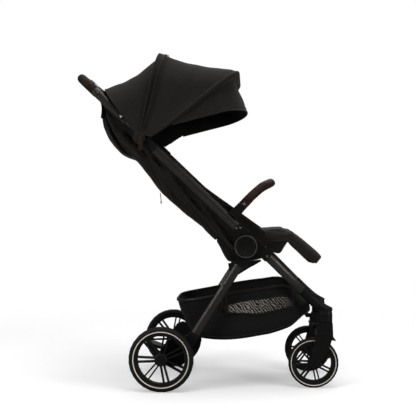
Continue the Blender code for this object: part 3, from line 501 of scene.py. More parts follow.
def puffed(name, source, voxel, cap, depth, scale):
    """A padded piece blown up by a cloth simulation from its solid, no further than `cap`, then creased."""
    mesh = bmesh.new()
    mesh.from_mesh(NODES[source].data)
    data = bpy.data.meshes.new(name)
    mesh.to_mesh(data)
    mesh.free()
    piece = bpy.data.objects.new(name, data)
    bpy.context.scene.collection.objects.link(piece)
    remesh = piece.modifiers.new("remesh", "REMESH")
    remesh.mode = "VOXEL"
    remesh.voxel_size = voxel
    settle = piece.modifiers.new("settle", "SMOOTH")
    settle.factor = 0.5
    settle.iterations = 3
    replace_mesh(piece)
    push_out(piece.data, lambda p: -CUSHION_SHRINK)
    before = vertex_places(piece.data)
    simulate(piece)
    after = vertex_places(piece.data)
    move = after - before
    far = np.linalg.norm(move, axis=1, keepdims=True)
    after = before + move * np.minimum(1.0, cap / np.maximum(far, 1e-9))
    piece.data.vertices.foreach_set("co", after.astype(np.float32).ravel())
    push_out(piece.data, lambda p: depth * soft_folds(p, scale))
    finer = piece.modifiers.new("finer", "SUBSURF")
    finer.levels = finer.render_levels = 1
    replace_mesh(piece)
    piece.data.materials.clear()
    piece.data.materials.append(FINISH["canvas"])
    piece.data.shade_smooth()
    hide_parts(source)
    return piece


def soft_folds(p, scale):
    """The soft folds of a padded piece at a place, from about -1 to 1."""
    broad = noise.noise(Vector((p.x * scale, p.y * scale * 0.6, p.z * scale)))
    fine = noise.noise(Vector((p.x * scale * 2.6, p.y * scale * 1.4, p.z * scale * 2.6 + 5.0)))
    return broad + 0.5 * fine


def replace_mesh(piece):
    """Apply every modifier of a piece."""
    view = bpy.context.evaluated_depsgraph_get()
    data = bpy.data.meshes.new_from_object(piece.evaluated_get(view))
    piece.modifiers.clear()
    piece.data = data


def vertex_places(data):
    """The places of a mesh's vertices, as rows."""
    places = np.zeros(len(data.vertices) * 3, np.float32)
    data.vertices.foreach_get("co", places)
    return places.reshape(-1, 3).astype(float)


def push_out(data, amount):
    """Move each vertex along its normal by an amount that depends on its place."""
    rows = [(vert.co.copy(), vert.normal.copy()) for vert in data.vertices]
    moved = [place + normal * amount(place) for place, normal in rows]
    data.vertices.foreach_set("co", np.array(moved, np.float32).ravel())


def simulate(piece):
    """Blow a closed mesh up as cloth and keep its shape."""
    cloth = piece.modifiers.new("cloth", "CLOTH")
    settings = cloth.settings
    settings.quality = 5
    settings.mass = 0.25
    settings.tension_stiffness = settings.compression_stiffness = 18
    settings.bending_stiffness = 0.6
    settings.use_pressure = True
    settings.uniform_pressure_force = CUSHION_PRESSURE
    settings.effector_weights.gravity = 0
    cloth.point_cache.frame_start, cloth.point_cache.frame_end = 1, CUSHION_FRAMES
    scene = bpy.context.scene
    for step in range(1, CUSHION_FRAMES + 1):
        scene.frame_set(step)
    replace_mesh(piece)
    scene.frame_set(1)


def rod_piece(name, path, finish, *halves, slot="black_fabric", **how):
    """One rod as a named piece."""
    mesh = bmesh.new()
    add_rod(mesh, path, *halves, **how)
    return publish(name, mesh, finish, slot)


def turned_piece(body, name, profile, centre, sign, steps, finish, slot="black_plastic", ring=False):
    """One turned body as a named piece on a body of the frame."""
    mesh = bmesh.new()
    add_turned(mesh, profile, centre, sign, steps, ring)
    fasten(body, name, mesh, finish, slot)


# Hard parts
def paint_nodes():
    """Give every CAD node that stays in view its finish."""
    plan = {
        "tube": ("upper_tube_", "front_leg_", "rear_leg_", "front_crossbar", "rear_axle_tube", "seat_frame"),
        "inner_tube": ("handle_frame",),
        "plastic": (
            "push_socket_", "front_socket_", "rear_socket_", "front_boot_", "axle_housing_", "canopy_mount_",
            "guard_socket_", "caster_fork_", "swivel_lever_", "brake_pedal", "fold_trigger", "harness_buckle",
        ),
        "gloss_plastic": ("hub_cap_",),
        "rim_plastic": ("rear_rim_", "front_rim_"),
        "tyre": ("rear_tyre_", "front_tyre_"),
        "leather": ("handle_grip_", "zip_pull", "guard_bar"),
        "white_dot": ("height_button_",),
        "steel": ("guard_button_",),
        "grey_plastic": ("buckle_button",),
        "canvas": ("canopy_", "backrest", "seat_pad", "calf_rest", "basket"),
        "webbing": ("shoulder_strap_", "crotch_strap"),
    }
    for name, node in NODES.items():
        node.data.materials.clear()
        fitting = [finish for finish, starts in plan.items() if name.startswith(starts)]
        if name.startswith("canopy_mount_"):
            fitting = ["plastic"]
        node.data.materials.append(FINISH[fitting[0]])


class STROLLER_OT_finishes(bpy.types.Operator):
    """Paint the tubes, mouldings, wheels and grips"""

    bl_idname = "stroller.finishes"
    bl_label = "Finishes"

    def execute(self, context):
        FINISH.update(make_finishes())
        paint_nodes()
        return {"FINISHED"}


# Canopy. Each rib has an angle in degrees and a height above its centre. The rear ribs fan out from the
# pivot, the front ones from a centre that moves forward of it, and the visor's from its own lower corner.
REAR_PANEL = (
    (126.0, 0.2076), (117.0, 0.2035), (108.0, 0.2025), (99.0, 0.2115), (91.3, 0.2253), (85.0, 0.2475),
    (78.5, 0.2750), (75.0, 0.2880),
)
FRONT_PANEL = (
    (78.0, 0.2925), (75.5, 0.2930), (70.3, 0.2886), (62.0, 0.2925), (56.0, 0.3030), (50.1, 0.3169),
    (44.5, 0.3420), (41.0, 0.3600), (38.5, 0.3660),
)
VISOR = ((37.6, 0.2740), (36.0, 0.2550), (25.5, 0.2557), (14.2, 0.2562))
REAR_SIDE = 0.2445
FRONT_SIDE_Y = 0.2490
CANOPY_CORNER = (0.095, 0.095)
BOW_CENTRE = Vector((0.030, 0, -0.006))
VISOR_CORNER = Vector((0.0715, 0, 0.0463))


def canopy_ribs():
    """The ribs of the rear panel, the front panel and the visor."""
    rear = [(CANOPY_PIVOT, angle, radius, REAR_SIDE, 0.012, *CANOPY_CORNER) for angle, radius in REAR_PANEL]
    front = []
    for angle, radius in FRONT_PANEL:
        centre = CANOPY_PIVOT + BOW_CENTRE * max((75.5 - angle) / 37.0, 0)
        front.append((centre, angle, radius, FRONT_SIDE_Y, 0.012, *CANOPY_CORNER))
    corner = CANOPY_PIVOT + BOW_CENTRE + VISOR_CORNER
    visor = []
    for (angle, radius), wide, deep in zip(VISOR, (0.095, 0.110, 0.175, 0.236), (0.095, 0.095, 0.094, 0.092)):
        visor.append((corner, angle, radius, FRONT_SIDE_Y - 0.0008, 0.006, wide, deep))
    return rear, front, visor


def mixed_rib(ribs, share):
    """The rib at a share of the way from the first to the last."""
    walk = min(max(share, 0.0), 1.0) * (len(ribs) - 1)
    k = min(int(walk), len(ribs) - 2)
    four = ribs[max(k - 1, 0)], ribs[k], ribs[k + 1], ribs[min(k + 2, len(ribs) - 1)]
    return [between(*values, walk - k) for values in zip(*four)]


def rib_point(rib, place, lift=0.0):
    """A point on one arch of the canopy. `place` runs from -1 at the right end to 1 at the left one."""
    centre, angle, radius, side, start, wide, deep = rib
    radius, side = radius + lift, side + lift
    flat, bend = side - wide, (wide + deep) * math.pi / 4
    walk = abs(place) * (flat + bend + radius - deep - start)
    if walk < flat:
        y, out = walk, radius
    elif walk < flat + bend:
        turn = (walk - flat) / bend * math.pi / 2
        y, out = flat + wide * math.sin(turn), radius - deep + deep * math.cos(turn)
    else:
        y, out = side, radius - deep - (walk - flat - bend)
    return centre + heading(angle) * out + AXIS_Y * math.copysign(y, place)


def canopy_surface(ribs, sag, seed):
    """The outer face of a panel between its first and last ribs, slack between them."""
    depth = sizes().wrinkle

    def surface(u, v):
        place = v * 2 - 1
        point = rib_point(mixed_rib(ribs, u), place)
        slack = math.sin(math.pi * min(max(u, 0.0), 1.0)) ** 0.7 * min(1.0, (1.0 - abs(place)) * 6.0)
        side = min(max((abs(place) - 0.30) * 4.0, 0.0), 1.0)
        radial = noise.noise(Vector((u * 3.2 + seed, place * 1.5, seed)))
        skew, half = u * 5.5 - abs(place) * 3.5, 9.0 + (place > 0) * 3.0
        fold = noise.noise(Vector((skew, abs(place) * 2.2, seed + half)))
        toward = (CANOPY_PIVOT + heading(70) * 0.13 - point).normalized()
        return point + toward * slack * (sag * side + depth * (0.8 + radial * 1.1 + fold * 1.3))

    return surface


def bow_path(rib, lift, count=64, span=1.0):
    """The line of one bow, a little outside the cloth."""
    return [rib_point(rib, span * (k / count * 2 - 1), lift) for k in range(count + 1)]


def pivot_out(point):
    """The direction from the canopy's middle to a point."""
    return (point - CANOPY_PIVOT - heading(60) * 0.10).normalized()


def cloth_piece(name, surface, rows, columns, body, flat, finish="canvas"):
    """A sheet of canvas over a surface. `flat` is not used."""
    mesh = bmesh.new()
    area = add_cloth(mesh, surface, rows, columns, sizes().canvas_thickness)
    piece = publish(name, mesh, finish, "black_fabric", 60)
    if body:
        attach(piece, body)
    return piece


class STROLLER_OT_canopy(bpy.types.Operator):
    """Build the canopy's cloth, bows, piping, zip and drop flap"""

    bl_idname = "stroller.canopy"
    bl_label = "Canopy"

    def execute(self, context):
        rear, front, visor = canopy_ribs()
        brim = [front[-1]] + visor
        for name, ribs, sag, seed, rows, columns, body, flat, stands_for in (
            ("rear", rear, 0.005, 2.0, 30, 100, "push_frame", (0.86, 0.30), "canopy_rear"),
            ("front", front, 0.006, 5.0, 40, 110, "canopy_front", (1.12, 0.34), "canopy_front"),
            ("visor", brim, 0.003, 8.0, 24, 110, "canopy_front", (1.04, 0.26), None),
        ):
            surface = canopy_surface(ribs, sag, seed)
            piece = cloth_piece(f"canopy_{name}_canvas", surface, rows, columns, body, flat)
            if stands_for:
                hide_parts(stands_for)
        self.bows(rear, front, visor, brim)
        self.covers()
        self.flap()
        return {"FINISHED"}

    def bows(self, rear, front, visor, brim):
        """The covered bow, the piping along each seam, and the stitched tape of the zip."""
        piping = sizes().piping
        rows = (
            ("canopy_front_bow", mixed_rib(brim, 0.08), 0.0005, 0.0074, "canopy_front", "canvas"),
            ("canopy_bow_seam", mixed_rib(front, 0.955), 0.0002, piping * 0.6, "canopy_front", "binding"),
            ("canopy_visor_seam", visor[0], 0.0004, piping * 0.6, "canopy_front", "binding"),
            ("canopy_visor_edge", visor[-1], -0.0004, piping * 1.2, "canopy_front", "binding"),
            ("canopy_front_edge", front[0], -0.0006, piping * 0.9, "canopy_front", "binding"),
            ("canopy_rear_edge", rear[0], -0.0006, piping * 1.3, "push_frame", "binding"),
        )
        for name, rib, lift, half, body, finish in rows:
            taper = 9 if half > 0.004 else 0
            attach(rod_piece(name, bow_path(rib, lift), finish, half, first=heading(60), taper=taper), body)
        tape = bmesh.new()
        across = heading(77.0 - 90.0)
        zip_rib = (*front[1][:4], 0.030, *CANOPY_CORNER)
        cord = [p + across * 0.0145 for p in bow_path(zip_rib, 0.0002, 90)]
        add_rod(tape, cord, 0.0011, sides=6, first=heading(60))
        middle = [p + across * 0.0072 for p in bow_path(zip_rib, 0.0, 90)]
        add_rod(tape, middle, 0.0034, 0.0008, sides=8, first=across, power=3.0)
        fasten("canopy_front", "canopy_zip_tape", tape, "binding")
        mesh = bmesh.new()
        zip_seam = (front[0][0], 77.2, *front[0][2:])
        for rib in (mixed_rib(front, 0.93), mixed_rib(brim, 0.93), zip_seam):
            add_stitches(mesh, bow_path(rib, 0.0001, 84, 0.98), pivot_out, sizes().stitch)
        fasten("canopy_front", "canopy_topstitch", mesh, "webbing")

    def covers(self):
        """The cloth-covered discs over the pivots."""
        face = FRONT_SIDE_Y + 0.0006
        back = face - 0.0050
        profile = [(0, face), (0.0168, face), (0.0198, face - 0.0012), (0.0204, back), (0, back)]
        for side, sign in SIDES:
            name = f"canopy_pivot_cover_{side}"
            turned_piece("canopy_front", name, profile, CANOPY_PIVOT, sign, 36, "canvas", "black_fabric")

    def flap(self):
        """The cloth that drops from the canopy's rear edge behind the child's head."""

        def surface(u, v):
            y = (v - 0.5) * 0.376
            ripple = 0.0018 * math.sin(y * 44) * u + 0.0014 * noise.noise(Vector((y * 30, u * 3, 4.0)))
            return at(-0.1935 - 0.0085 * u + ripple, 0.9820 - 0.0900 * u, y)

        piece = cloth_piece("canopy_drop_flap", surface, 14, 60, "push_frame", (0.39, 0.10))
        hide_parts("canopy_flap")


# Seat
# The sling behind the backrest: how far it hangs below the push line, by the distance up that line
SLING = (
    (0.673, 0.0100), (0.6395, 0.0480), (0.6178, 0.0690), (0.5729, 0.0900), (0.5143, 0.0935),
    (0.4574, 0.0740), (0.4109, 0.0815), (0.3388, 0.0950), (0.3015, 0.0958), (0.2058, 0.0908),
    (0.1428, 0.0805), (0.0700, 0.0775), (0.0200, 0.0760),
)
SLING_TOP = 0.676
SLING_LENGTH = 0.656
SLING_HALF = 0.2085
GRIPS_START = 0.610
# The front edge of the side wings and the hem of the skirt, as forward and height
WING_EDGE = (
    (0.0800, 0.7046), (0.1135, 0.6748), (0.1700, 0.6330), (0.2260, 0.5935), (0.2900, 0.5470),
    (0.3390, 0.5125),
)
SKIRT = (
    (0.1780, 0.4780), (0.1960, 0.4420), (0.2145, 0.4125), (0.2650, 0.4125), (0.3268, 0.4232),
    (0.3700, 0.4480), (0.4028, 0.4723),
)
# The cover over the seat: forward and height of its top line, then of its hem
COVER = (
    (0.2450, 0.5215, 0.2450, 0.4960), (0.3000, 0.5220, 0.3000, 0.4820), (0.3367, 0.5230, 0.3300, 0.4700),
    (0.3750, 0.5230, 0.3600, 0.4500), (0.4059, 0.5215, 0.3850, 0.4470), (0.4250, 0.5180, 0.3990, 0.4640),
    (0.4400, 0.5060, 0.4090, 0.4800), (0.4560, 0.4930, 0.4270, 0.4700), (0.4830, 0.4690, 0.4530, 0.4430),
    (0.5150, 0.4425, 0.4930, 0.4180), (0.5230, 0.4330, 0.5060, 0.4130),
)
# The basket, by how far forward: the height of its rim and its floor, and half its width
BASKET_RIM = ((0.040, 0.284), (0.128, 0.296), (0.219, 0.314), (0.332, 0.330), (0.404, 0.336), (0.470, 0.300))
BASKET_FLOOR = (
    (0.060, 0.190), (0.108, 0.164), (0.221, 0.158), (0.354, 0.178), (0.420, 0.200), (0.470, 0.232),
)
BASKET_HALF = ((0.040, 0.180), (0.300, 0.184), (0.404, 0.176), (0.440, 0.160), (0.490, 0.120))
# Level, rear end, front end and share of the full width
BASKET_LEVELS = (
    (0.0, 0.088, 0.480, 0.86), (0.18, 0.070, 0.494, 0.92), (0.6, 0.050, 0.486, 0.955),
    (1.0, 0.040, 0.452, 0.98),
)
BASKET_POWER = 4.5
BASKET_STEPS = 140
NET_TOP = (
    (0.2149, 0.2786), (0.2650, 0.2890), (0.3201, 0.2956), (0.4024, 0.3050), (0.4222, 0.2948),
    (0.4322, 0.2760),
)
NET_LOW = ((0.2149, 0.2490), (0.2700, 0.2465), (0.3201, 0.2463), (0.3857, 0.2598), (0.4322, 0.2715))


def bowl(turn, power):
    """How far across and how deep a U-shaped section is at a turn from 0 to 1."""
    c, s = math.cos(math.pi * turn), math.sin(math.pi * turn)
    return math.copysign(abs(c) ** power, c), abs(s) ** power


def sling_surface(u, v):
    """The cloth slung from one push tube to the other behind the backrest."""
    distance = SLING_TOP - SLING_LENGTH * u
    wide, deep = bowl(v, 0.42)
    depth = table_value(SLING, distance)
    half = SLING_HALF - 0.0135 * deep - 0.030 * max(u - 0.75, 0)
    half -= 0.0075 * min(max(distance - GRIPS_START, 0) / 0.025, 1)
    side = 4.0 if wide > 0 else 0.0
    ridge = 1 - abs(noise.noise(Vector((distance * 3, deep * 2.8 + distance * 6, 3.0 + side)))) * 3.2
    folds = noise.noise(Vector((distance * 5, deep * 5.0 + distance * 11, 8.0 + side)))
    creases = noise.noise(Vector((distance * 13, deep * 11.0 + distance * 22, 11.0)))
    slack = math.sin(math.pi * min(deep * 0.92, 1.0)) * (1.9 if distance > 0.44 else 1.15)
    push = (0.0085 * ridge + 0.0165 * folds + 0.0075 * creases) * slack
    return on_push_line(distance, wide * (half + push - 0.004 * slack), -depth * deep - abs(push) * 0.25)


def skirt_surface(u, v):
    """The cloth that hangs from the seat's sides and carries its pad."""
    walk = SKIRT[0][0] + (SKIRT[-1][0] - SKIRT[0][0]) * u
    wide, deep = bowl(v, 0.40)
    low = table_value(SKIRT, walk)
    top = 0.4930 - 0.006 * u
    wave = 0.0030 * noise.noise(Vector((walk * 30, wide * 2.0, deep * 3.0)))
    return at(walk, top + (low - top) * deep + wave * deep, wide * (0.1780 + wave - 0.012 * deep))


def cover_surface(u, v):
    """The quilted cover over the seat pad and the calf rest, hanging a little at both sides."""
    walk = u * (len(COVER) - 1)
    k = min(int(walk), len(COVER) - 2)
    rows = [COVER[min(max(j, 0), len(COVER) - 1)] for j in (k - 1, k, k + 1, k + 2)]
    x, z, low_x, low_z = (between(*(row[c] for row in rows), walk - k) for c in range(4))
    wide, high = bowl(v, 0.30)
    wave = noise.noise(Vector((x * 26, wide * 3.0, high * 1.5)))
    dip = 0.0030 * (1 - abs(wide) ** 2) * (u < 0.62)
    top, low = at(x, z - dip), at(low_x, low_z + 0.0030 * wave)
    half = 0.1690 - 0.004 * u + 0.0022 * wave * (1 - high)
    return low.lerp(top, high) + AXIS_Y * wide * half


def basket_span(level):
    """Where the basket's wall starts and ends at a level, and the share of its full width there."""
    return (table_value([(row[0], row[k]) for row in BASKET_LEVELS], level) for k in (1, 2, 3))


def basket_slack(forward, across, level):
    """How far the wall falls in between floor and rim, and its waves."""
    slack = math.sin(math.pi * min(max(level, 0.0), 1.0))
    wave = noise.noise(Vector((forward * 16, across * 2.0, level * 2.2)))
    return 0.004 * slack, wave * 0.0045 * slack


def basket_point(turn, level, out=0.0):
    """A point on the basket's wall. `turn` runs once round it and `level` from its floor to its rim."""
    start, end, share = basket_span(level)
    c, s = math.cos(2 * math.pi * turn), math.sin(2 * math.pi * turn)
    a, b = (math.copysign(abs(x) ** (2 / BASKET_POWER), x) for x in (c, s))
    forward = (start + end) / 2 + a * ((end - start) / 2 + out)
    low, high = table_value(BASKET_FLOOR, forward), table_value(BASKET_RIM, forward)
    half = table_value(BASKET_HALF, forward) * share + out
    slack, wave = basket_slack(forward, b, level)
    return at(forward, low + (high - low) * level, b * (half - slack + wave))


def basket_line(level, out=0.0):
    """The closed line round the basket's wall at a level."""
    return [basket_point(k / BASKET_STEPS, level, out) for k in range(BASKET_STEPS)]


def basket_side(forward, height, sign, out):
    """A point on the basket's side wall, where it is this far forward and this high."""
    low, high = table_value(BASKET_FLOOR, forward), table_value(BASKET_RIM, forward)
    level = (height - low) / (high - low)
    start, end, share = basket_span(level)
    a = min(abs(forward - (start + end) / 2) / ((end - start) / 2), 0.999)
    b = (1 - a**BASKET_POWER) ** (1 / BASKET_POWER)
    slack, wave = basket_slack(forward, sign * b, level)
    half = table_value(BASKET_HALF, forward) * share
    return at(forward, height, sign * (b * (half - slack) + wave + out))


class STROLLER_OT_seat(bpy.types.Operator):
    """Build the seat's pads, the backrest, the sling behind it, its side wings and the skirt"""

    bl_idname = "stroller.seat"
    bl_label = "Seat"

    def execute(self, context):
        depth = sizes().wrinkle
        for name, source, body, voxel, cap, crease, scale, fill in (
            ("seat", "seat_pad", "front_frame", 0.005, 0.007, depth * 0.6, 22, 0.6),
            ("calf", "calf_rest", "calf_rest", 0.005, 0.006, depth * 0.5, 24, 0.55),
            ("backrest", "backrest", "backrest", 0.0055, 0.003, depth * 0.9, 17, 0.5),
        ):
            cushion = puffed(f"{name}_cushion", source, voxel, cap, crease, scale)
            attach(cushion, body)
        self.sling()
        self.wings()
        self.cover()
        self.webs()
        cloth_piece("seat_skirt", skirt_surface, 26, 56, "front_frame", (0.46, 0.29))
        return {"FINISHED"}

    def cover(self):
        """The cover that runs on from the seat over the calf rest."""
        cover = cloth_piece("seat_cover", cover_surface, 60, 70, None, (0.40, 0.38))
        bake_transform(cover)

    def webs(self):
        """The gussets of cloth from the skirt down to the rear legs, and the pull of the back."""
        a, b, c = at(0.2150, 0.4125), at(0.2225, 0.3575), at(0.3268, 0.4232)
        for side, sign in SIDES:

            def surface(u, v):
                wave = 0.002 * math.sin(u * 9 + v * 4)
                return a.lerp(b, u).lerp(c, v * 0.97) + AXIS_Y * sign * (0.1700 + wave)

            web = cloth_piece(
                f"skirt_gusset_{side}", surface, 12, 12, "front_frame", (0.12, 0.04), "webbing"
            )
            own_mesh(web)
        mesh = bmesh.new()
        tab = [at(-0.0119, 0.6440, -0.150), at(-0.0095, 0.6280, -0.1505), at(-0.0090, 0.6170, -0.150)]
        add_rod(mesh, smooth(tab), 0.0013, sides=8)
        add_rod(mesh, [at(-0.0090, 0.6180, -0.150), at(-0.0086, 0.6090, -0.150)], 0.0030, 0.0020)
        fasten("backrest", "back_pull_tab", mesh, "webbing")

    def sling(self):
        """The slung cloth and the bound edge along each push tube."""
        sling = cloth_piece("back_sling", sling_surface, 110, 72, None, (0.62, 0.61))
        tubes, cushion = on_push_line(0.3, 0, -0.004), on_push_line(0.3, 0, -0.045)
        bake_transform(sling)
        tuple(tubes)
        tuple(cushion)
        for side, v in (("left", 0.0), ("right", 1.0)):
            edge = [sling_surface(k / 60, v) for k in range(61)]
            name = f"back_sling_edge_{side}"
            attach(rod_piece(name, edge, "binding", sizes().piping, sides=8, first=FRONT_SIDE), "push_frame")

    def wings(self):
        """The side wings from the push tubes to the seat, with their bound front edges."""
        edge = smooth([at(*p) for p in WING_EDGE], 8)
        for side, sign in SIDES:

            def surface(u, v):
                point = edge[min(int(u * (len(edge) - 1) + 0.5), len(edge) - 1)]
                low = PUSH_FOOT + PUSH_DIR * ((point - PUSH_FOOT).dot(PUSH_DIR)) - FRONT_SIDE * 0.020
                wave = 0.003 * noise.noise(Vector((u * 5.0, v * 2.0, 6.0 + sign)))
                y = 0.1960 - 0.020 * u + wave - 0.004 * math.sin(math.pi * v)
                return point.lerp(low, v) + AXIS_Y * sign * y

            wing = cloth_piece(f"side_wing_{side}", surface, 40, 10, None, (0.34, 0.075))
            hem, half = [surface(k / 40, 0.0) for k in range(41)], sizes().piping * 1.1
            bound = rod_piece(f"side_wing_edge_{side}", hem, "binding", half, sides=8, first=FRONT_SIDE)
            for piece in (wing, bound):
                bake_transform(piece)


class STROLLER_OT_basket(bpy.types.Operator):
    """Build the basket's cloth, its netting, rim and straps"""

    bl_idname = "stroller.basket"
    bl_label = "Basket"

    def execute(self, context):
        body = "front_frame"
        wall = cloth_piece(
            "basket_cloth", self.wall_surface, 22, 120, body, (1.24, 0.19), "basket_cloth"
        )
        floor = cloth_piece(
            "basket_floor", self.floor_surface, 24, 40, body, (0.40, 0.33), "basket_cloth"
        )
        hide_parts("basket")
        pieces, seams = [wall, floor], []
        for side, sign in SIDES:

            def net(u, v):
                forward = NET_TOP[0][0] + (NET_TOP[-1][0] - NET_TOP[0][0]) * v
                low, high = table_value(NET_LOW, forward), table_value(NET_TOP, forward)
                return basket_side(forward, high + (low - high) * u, sign, 0.0032)

            pieces.append(
                cloth_piece(f"basket_net_{side}", net, 14, 60, body, (0.24, 0.075), "netting")
            )
            edge = [net(0, k / 40) for k in range(40)] + [net(k / 8, 1) for k in range(8)]
            edge += [net(1, 1 - k / 40) for k in range(40)] + [net(1 - k / 8, 0) for k in range(8)]
            seams.append((f"net_edge_{side}", edge, "binding", (0.0028, 0.0010), 8))
        seams.append(("rim_binding", basket_line(1.0), "gloss_cloth", (0.0052, 0.0042), 12))
        seams.append(("floor_seam", basket_line(0.06, 0.0008), "binding", (0.0016,), 6))
        for name, line, finish, halves, around in seams:
            pieces.append(
                rod_piece(f"basket_{name}", line, finish, *halves, sides=around, first=AXIS_Z, closed=True)
            )
        for side, sign in SIDES:
            mesh = bmesh.new()
            for forward, high, low in (
                (0.1960, 0.306, 0.262), (0.2080, 0.308, 0.246), (0.4300, 0.322, 0.262),
            ):
                line = [basket_side(forward, high + (low - high) * k / 8, sign, 0.0046) for k in range(9)]
                add_rod(mesh, line, 0.0040, 0.0009, sides=8, first=AXIS_X, power=4.0)
            buckle = basket_side(0.2080, 0.262, sign, 0.0066)
            ends = [buckle - AXIS_Z * 0.008, buckle + AXIS_Z * 0.008]
            add_rod(mesh, ends, 0.0062, 0.0018, sides=8, first=AXIS_X, power=5.0)
            pieces.append(publish(f"basket_strap_{side}", mesh, "webbing", "black_fabric"))
        for piece in pieces:
            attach(piece, body)
            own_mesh(piece)
        return {"FINISHED"}

    def wall_surface(self, u, v):
        """The cloth round the basket, from its rim down, open by a hair at its front seam."""
        return basket_point(v * 0.9999, 1.0 - u)

    def floor_surface(self, u, v):
        """The cloth across the basket's bottom, sagging a little."""
        forward = 0.096 + 0.362 * v
        half = table_value(BASKET_HALF, forward) * 0.86 * (1 - abs(v * 2 - 1) ** 6 * 0.16)
        height = table_value(BASKET_FLOOR, forward) + 0.002
        return at(forward, height - 0.002 * math.sin(math.pi * u), (0.5 - u) * 2 * half)


# Trim
REAR_TYRE_Y = 0.2425
FRONT_TYRE_Y = 0.148


def rivet_head(radius, height):
    """The profile of a low rivet head."""
    crown, rim = (radius * 0.55, height * 0.85), (radius, height * 0.25)
    return [(0, height), crown, rim, (radius, -0.0008), (0, -0.0008)]


class STROLLER_OT_trim(bpy.types.Operator):
    """Build the rings on the tyres, the hub covers, rivets, caps, piping and stitching"""

    bl_idname = "stroller.trim"
    bl_label = "Trim"

    def execute(self, context):
        for side, sign in SIDES:
            self.wheels(side, sign)
            self.hub(side, sign)
            self.rivets(side, sign)
            self.leather(side, sign)
        self.seat_piping()
        return {"FINISHED"}

    def wheels(self, side, sign):
        """The pale ring on each face of the tyres and the caps at the axles."""
        for name, centre, low, high, face in (
            ("rear", at(0, 0.105, sign * REAR_TYRE_Y), 0.0884, 0.0910, 0.0152),
            ("front", at(0.497, 0.0824, sign * FRONT_TYRE_Y), 0.0726, 0.0746, 0.0112),
        ):
            profile = [
                (low, face - 0.0010), (low, face), (low + 0.0006, face + 0.0010),
                (high - 0.0002, face + 0.0014), (high + 0.0006, face + 0.0007),
                (high + 0.0005, face - 0.0010),
            ]
            body = f"{name}_wheel_{side}"
            turned_piece(body, f"{name}_ring_{side}", profile, centre, sign, 72, "ring", "foam_tyre", True)
        cap = [(0, 0.0128), (0.0080, 0.0126), (0.0100, 0.0116), (0.0104, 0.0100), (0, 0.0100)]
        turned_piece(
            f"rear_wheel_{side}", f"rear_axle_cap_{side}", cap, at(0, 0.105, sign * REAR_TYRE_Y), sign, 32,
            "gloss_plastic",
        )

    def hub(self, side, sign):
        """The bare cover in the hub's cap, and a raised lip round it painted pale grey as a painted highlight
        along the cap's edge.
        """
        ring = [
            (0.0335, 0.2488), (0.0335, 0.2503), (0.0345, 0.2509), (0.0356, 0.2509), (0.0364, 0.2503),
            (0.0364, 0.2488),
        ]
        # Painted highlight: this real raised lip is painted pale grey to stand for the highlight along the
        # rim.
        turned_piece("push_frame", f"hub_rim_highlight_ring_{side}", ring, HUB, sign, 72, "grey_plastic", ring=True)
        cover = [(0, 0.2489), (0.0280, 0.2489), (0.0296, 0.2486), (0.0300, 0.2478), (0, 0.2478)]
        turned_piece("push_frame", f"hub_cover_{side}", cover, HUB, sign, 64, "gloss_plastic")

    def rivets(self, side, sign):
        """Rivets and screws of the sockets and legs, the height button's ring and the handle's sleeve."""
        rows = (
            ("push_frame", (0.2433, 0.5289), 0.2348, 0.0030),
            ("push_frame", (0.2568, 0.5302), 0.2348, 0.0030),
            ("rear_frame", (0.1967, 0.3456), 0.2318, 0.0036),
            ("front_frame", (0.3419, 0.4379), 0.2348, 0.0036),
            ("push_frame", (-0.0243, 0.7917), 0.2318, 0.0034),
        )
        for k, (body, place, face, radius) in enumerate(rows):
            head, centre = rivet_head(radius, 0.0011), at(*place, sign * face)
            turned_piece(body, f"rivet_{k}_{side}", head, centre, sign, 18, "steel_dark")
        ring = [(0.0062, 0.2300), (0.0062, 0.2335), (0.0086, 0.2335), (0.0092, 0.2325), (0.0092, 0.2300)]
        centre = at(-0.1316, 0.8923)
        turned_piece("handle", f"height_ring_{side}", ring, centre, sign, 40, "plastic", ring=True)
        line = [on_push_line(0.5610 + 0.1310 * k / 8, sign * FRAME_Y) for k in range(9)]
        name = f"handle_sleeve_{side}"
        sleeve = rod_piece(name, line, "tube", 0.0088, 0.0135, slot="satin_black_metal", sides=28)
        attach(sleeve, "handle")

    def leather(self, side, sign):
        """Stitching along the leather of the guard bar."""
        mesh = bmesh.new()
        bends = (0.2910, 0.6225, 0.2140), (0.3360, 0.6560, 0.1960), (0.3630, 0.6700, 0.1500)
        line = smooth([at(forward, height, sign * y) for forward, height, y in bends], 12)
        add_stitches(mesh, line, -FRONT_SIDE, sizes().stitch)
        fasten("guard_bar", f"guard_stitch_{side}", mesh, "thread", "brown_leather")

    def seat_piping(self):
        """Piping round the sides of the seat pad and the calf rest."""
        seat = (0.2300, 0.5000), (0.3071, 0.4960), (0.3532, 0.4990), (0.4059, 0.5050), (0.4260, 0.5060)
        calf = (0.4270, 0.4890), (0.4520, 0.4790), (0.4800, 0.4520), (0.5120, 0.4250)
        for name, body, points, half in (
            ("seat_piping", "front_frame", seat, 0.1655),
            ("calf_piping", "calf_rest", calf, 0.1605),
        ):
            for side, sign in SIDES:
                line = smooth([at(*p, sign * half) for p in points], 8)
                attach(rod_piece(f"{name}_{side}", line, "binding", sizes().piping, sides=8), body)


# Stage
CAMERA_PLACE = at(0.2842, 0.6052, -3.1228)
CAMERA_YAW = -0.0459
CAMERA_PITCH = -0.0036
FOCAL_PIXELS = 894.4
PICTURE_PIXELS = 416
SENSOR_MM = 36.0


